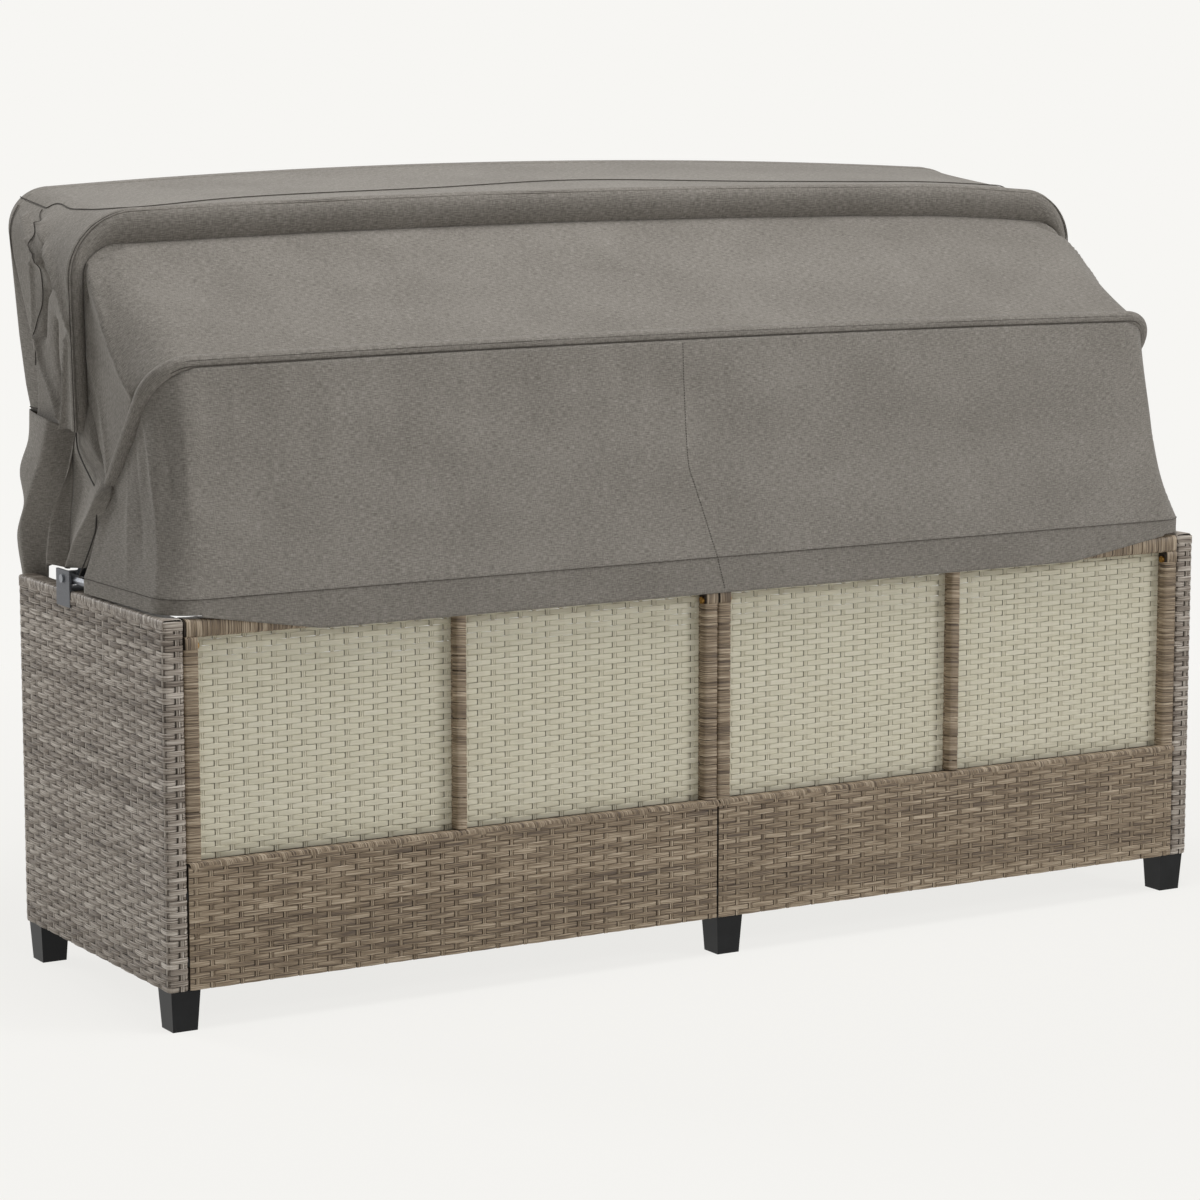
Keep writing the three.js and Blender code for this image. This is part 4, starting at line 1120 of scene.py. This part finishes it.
back_run = (edge_points[:, 1] - corner_y - strip_round) * (plan - turn_end) / back_share
y = np.where(plan < turn_end, near_corner, corner_y + strip_round + back_run)
strip_points = np.stack([x, y, edge_points[:, 2] + 0 * x], axis=-1)
strip_points[..., 0] += (edge_points[:, 0] - side_x[-1])[None] * plan
for end, sign in (("right", 1), ("left", -1)):
    strip = strip_points * (sign, 1, 1)
    strip_piece = cloth(f"curtain_strip_{end}", strip[::sign])
    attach(strip_piece, "front_hoop")
    skirt = skirt_points * (sign, 1, 1)
    skirt_piece = cloth(f"curtain_skirt_{end}", skirt[: valley + 1][::sign])
    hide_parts(f"curtain_{end}")
    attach(skirt_piece, "front_hoop")
    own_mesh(skirt_piece)
    tail = cloth(f"curtain_tail_{end}", skirt[valley:][::sign])
    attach(tail, "rear_hoop")
    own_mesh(tail)
    # The cross seam's dark thread line is partly painted shade of the seam.
    cross_line = strip[:, 1] + (sign * 0.0008, -0.0004, 0)
    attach(sewn_line(f"curtain_cross_stitching_{end}", cross_line), "front_hoop")

# Hem straps: webbing saddles, stitched under the hem, that hold the lowest hoop down on the back rail.
# Each is one strip that turns over both with rounded corners.
webbing = canvas_finish("taupe_polyester_webbing", [(0.36, "#5c574f"), (0.64, "#8b867d")])
strap_inset = 0.001
strap_columns, strap_steps = 13, 90
for end in ("right", "left"):
    low, high = box_of(f"hem_strap_{end}")
    down, up, front, back = low[2], high[2] - strap_inset, low[1] + strap_inset, high[1] - strap_inset
    knots = [(front, down), (front, up - 0.006), (front + 0.002, up - 0.0012), (front + 0.007, up),
             (back - 0.007, up), (back - 0.002, up - 0.0012), (back, up - 0.006), (back, down)]
    profile = spline(knots, strap_steps)
    across = np.linspace(high[0] - strap_inset, low[0] + strap_inset, strap_columns)
    points = np.empty((strap_columns, strap_steps, 3))
    points[..., 0] = across[:, None]
    points[..., 1:] = profile[None, ::-1]
    strap = cloth(f"hem_webbing_{end}", points)
    strap.data.materials[0] = webbing
    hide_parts(f"hem_strap_{end}")
    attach(strap, "base")

# Cushions: one seat and one back cushion for each unit, loose covers of pale canvas over foam, with a
# corded welt round both large faces. Their own swelling comes from a pressure simulation.
cushion_canvas = canvas_finish(
    "pale_taupe_polyester_canvas", [(0.36, "#8a847a"), (0.5, "#a39d93"), (0.64, "#b7b2a8")], at_uv=False
)
voxel = 0.010
swell_cap = 0.024
welt_radius = 0.0022
cover_steps, cover_sides, cover_room = 61, 96, 0.007
swell_frames = 20
edge_steps = 200


def settle(piece):
    """Applies a piece's modifiers to its mesh."""
    graph = bpy.context.evaluated_depsgraph_get()
    done = bpy.data.meshes.new_from_object(piece.evaluated_get(graph), depsgraph=graph)
    piece.modifiers.clear()
    piece.data = done


def places(mesh):
    """The points of a mesh as one array."""
    flat = np.empty(len(mesh.vertices) * 3, np.float32)
    mesh.vertices.foreach_get("co", flat)
    return flat.reshape(-1, 3)


def stuffed(name, node):
    """A closed cover. Its rings run along x: each is a rounded rectangle whose size falls to nothing at
    the ends as one minus the twelfth power of the distance, so that the block has soft corners. Air
    pressure in a cloth simulation then swells it, no further than the cap and the node's box."""
    low, high = box_of(node)
    half = (high - low) / 2 - cover_room
    s = np.sin(np.linspace(-1, 1, cover_steps) * math.pi / 2)
    size = np.maximum(np.maximum(1 - np.abs(s) ** 12, 0.0) ** (1 / 6), 0.02)
    turn = np.linspace(0, 2 * math.pi, cover_sides, endpoint=False)
    c, q = squarish(turn, 0.22)
    ring_y, ring_z = c * half[1], q * half[2]
    points = np.zeros((1, cover_steps, cover_sides, 3))
    points[0, :, :, 0] = s[:, None] * half[0]
    points[0, :, :, 1] = ring_y[None] * (1 - (1 - size[:, None]) * 0.35)
    points[0, :, :, 2] = ring_z[None] * size[:, None]
    points += (low + high) / 2
    piece = surface(name, points)
    remesh = piece.modifiers.new("remesh", "REMESH")
    remesh.mode = "VOXEL"
    remesh.voxel_size = voxel
    settle(piece)
    start = places(piece.data)
    swelling = piece.modifiers.new("swelling", "CLOTH")
    swelling.settings.use_pressure = True
    swelling.settings.uniform_pressure_force = 4.0
    swelling.settings.effector_weights.gravity = 0.0
    swelling.point_cache.frame_start, swelling.point_cache.frame_end = 1, swell_frames
    for number in range(1, swell_frames + 1):
        scene.frame_set(number)
    settle(piece)
    scene.frame_set(1)
    move = places(piece.data) - start
    far = np.maximum(np.linalg.norm(move, axis=1, keepdims=True), 1e-9)
    end = np.clip(start + move * np.minimum(1, swell_cap / far), low + 0.0005, high - 0.0005)
    piece.data.vertices.foreach_set("co", end.astype(np.float32).ravel())
    piece.data.update()
    finer = piece.modifiers.new("finer", "SUBSURF")
    finer.levels = finer.render_levels = 1
    settle(piece)
    piece.data.shade_smooth()
    return piece


def face_edge(mesh, low, high, axis, sign):
    """The line where a large face of a cushion meets its sides. A rounded rectangle runs round the face
    in plan, and each of its points moves to the nearest point of the cover."""
    turn = np.linspace(0, 2 * math.pi, edge_steps)
    c, q = squarish(turn, 0.2)
    first, second = [n for n in range(3) if n != axis]
    half = (high - low) / 2
    target = np.tile((low + high) / 2, (edge_steps, 1))
    target[:, first] += c * half[first]
    target[:, second] += q * half[second]
    target[:, axis] += sign * half[axis]
    cover = places(mesh)
    found = np.array([cover[np.argmin(((cover - spot) ** 2).sum(axis=1))] for spot in target[:-1]])
    ahead = np.concatenate([found[-4:], found, found[:4]])
    smooth = sum(ahead[n : n + len(found)] for n in range(9)) / 9
    return np.concatenate([smooth, smooth[:2]])


for kind, axis in (("seat", 2), ("back", 1)):
    first = stuffed(f"{kind}_cushion_cover_right", f"{kind}_cushion_right")
    corners = {end: np.array(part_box(f"{kind}_cushion_{end}")) for end in ("right", "left")}
    mirrored = first.data.copy()
    moved = places(mirrored) + (corners["left"] - corners["right"]).mean(axis=0)
    mirrored.vertices.foreach_set("co", moved.astype(np.float32).ravel())
    second = bpy.data.objects.new(f"{kind}_cushion_cover_left", mirrored)
    scene.collection.objects.link(second)
    for end, cover in (("right", first), ("left", second)):
        cover.data.materials.clear()
        dress(cover, cushion_canvas)
        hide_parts(f"{kind}_cushion_{end}")
        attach(cover, "base")
        for side, sign in (("upper", 1), ("lower", -1)):
            line = face_edge(cover.data, *corners[end], axis, sign)
            welt = sewn_line(f"{kind}_cushion_{side}_welt_{end}", line, welt_radius, cushion_canvas)
            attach(welt, "base")

# Floor and light: the object stands on seamless white studio paper, which the camera and the metal see as
# an even white that still takes the object's shadow. Large round lamps light it softly: one overhead, one
# far off behind the sofa and one in front of it.


def seen_rays(owner):
    """1 for rays from the camera, from a glossy surface or through a clear one, and 0 for others."""
    path = add_node(owner, "LightPath").outputs
    seen = path["Is Camera Ray"]
    for kind in ("Is Glossy Ray", "Is Transmission Ray"):
        seen = add_node(owner, "Math", links={0: seen, 1: path[kind]}, operation="MAXIMUM").outputs["Value"]
    return seen


studio_white = paint("#f7f6f3")
floor_half = 60
floor_mesh = bpy.data.meshes.new("floor")
floor_corners = [(x * floor_half, y * floor_half, 0) for x, y in ((-1, -1), (1, -1), (1, 1), (-1, 1))]
floor_mesh.from_pydata(floor_corners, [], [(0, 1, 2, 3)])
floor = bpy.data.objects.new("floor", floor_mesh)
scene.collection.objects.link(floor)
paper, paper_shader = new_finish("white_paper_floor", Roughness=1.0)
paper_shader.inputs["Base Color"].default_value = paint("#f2f1ee")
paper_shader.inputs["Specular IOR Level"].default_value = 0.0
spot = add_node(paper, "TexCoord").outputs["Object"]
far = add_node(paper, "VectorMath", links={0: spot}, operation="LENGTH").outputs["Value"]
fade = add_node(
    paper, "MapRange", {"From Min": 1.2, "From Max": 3.0, "To Min": 0.87, "To Max": 1.0}, {"Value": far}
).outputs["Result"]
weight = add_node(paper, "Math", links={0: seen_rays(paper), 1: fade}, operation="MULTIPLY").outputs["Value"]
glow = add_node(paper, "Emission", {"Color": studio_white, "Strength": 1.0}).outputs["Emission"]
blend_floor = add_node(paper, "MixShader", links={0: weight, 1: paper_shader.outputs["BSDF"], 2: glow})
connect(paper, blend_floor.outputs["Shader"], paper.node_tree.nodes["Material Output"], "Surface")
floor_mesh.materials.append(paper)

world = bpy.data.worlds.new("studio")
scene.world = world
world.use_nodes = True
background = world.node_tree.nodes["Background"]
background.inputs["Color"].default_value = studio_white
background.inputs["Strength"].default_value = 0.23
backdrop = add_node(world, "Background", {"Color": studio_white})
mix = add_node(
    world, "MixShader",
    links={0: seen_rays(world), 1: background.outputs[0], 2: backdrop.outputs[0]},
)
connect(world, mix.outputs[0], world.node_tree.nodes["World Output"], "Surface")


def lamp(name, place, aim, size, power):
    """A round lamp at a place, turned to its aim. The size is its width in metres."""
    data = bpy.data.lights.new(name, "AREA")
    data.shape = "DISK"
    data.size = size
    data.energy = power
    light = bpy.data.objects.new(name, data)
    light.location = place
    heading = np.array(aim) - np.array(place)
    light.rotation_euler = (
        math.acos(-heading[2] / np.linalg.norm(heading)), 0.0, math.atan2(-heading[0], heading[1])
    )
    scene.collection.objects.link(light)


lamp("overhead", (0.2, 1.2, 4.6), (0, 0, 0.6), 2.2, 102)
lamp("far_back", (-6.0, 5.6, 4.2), (0, 0, 0.5), 1.8, 195)
lamp("front_right", (3.0, -4.0, 2.8), (0.9, 0, 0.7), 1.8, 80)

scene.view_settings.view_transform = "Standard"
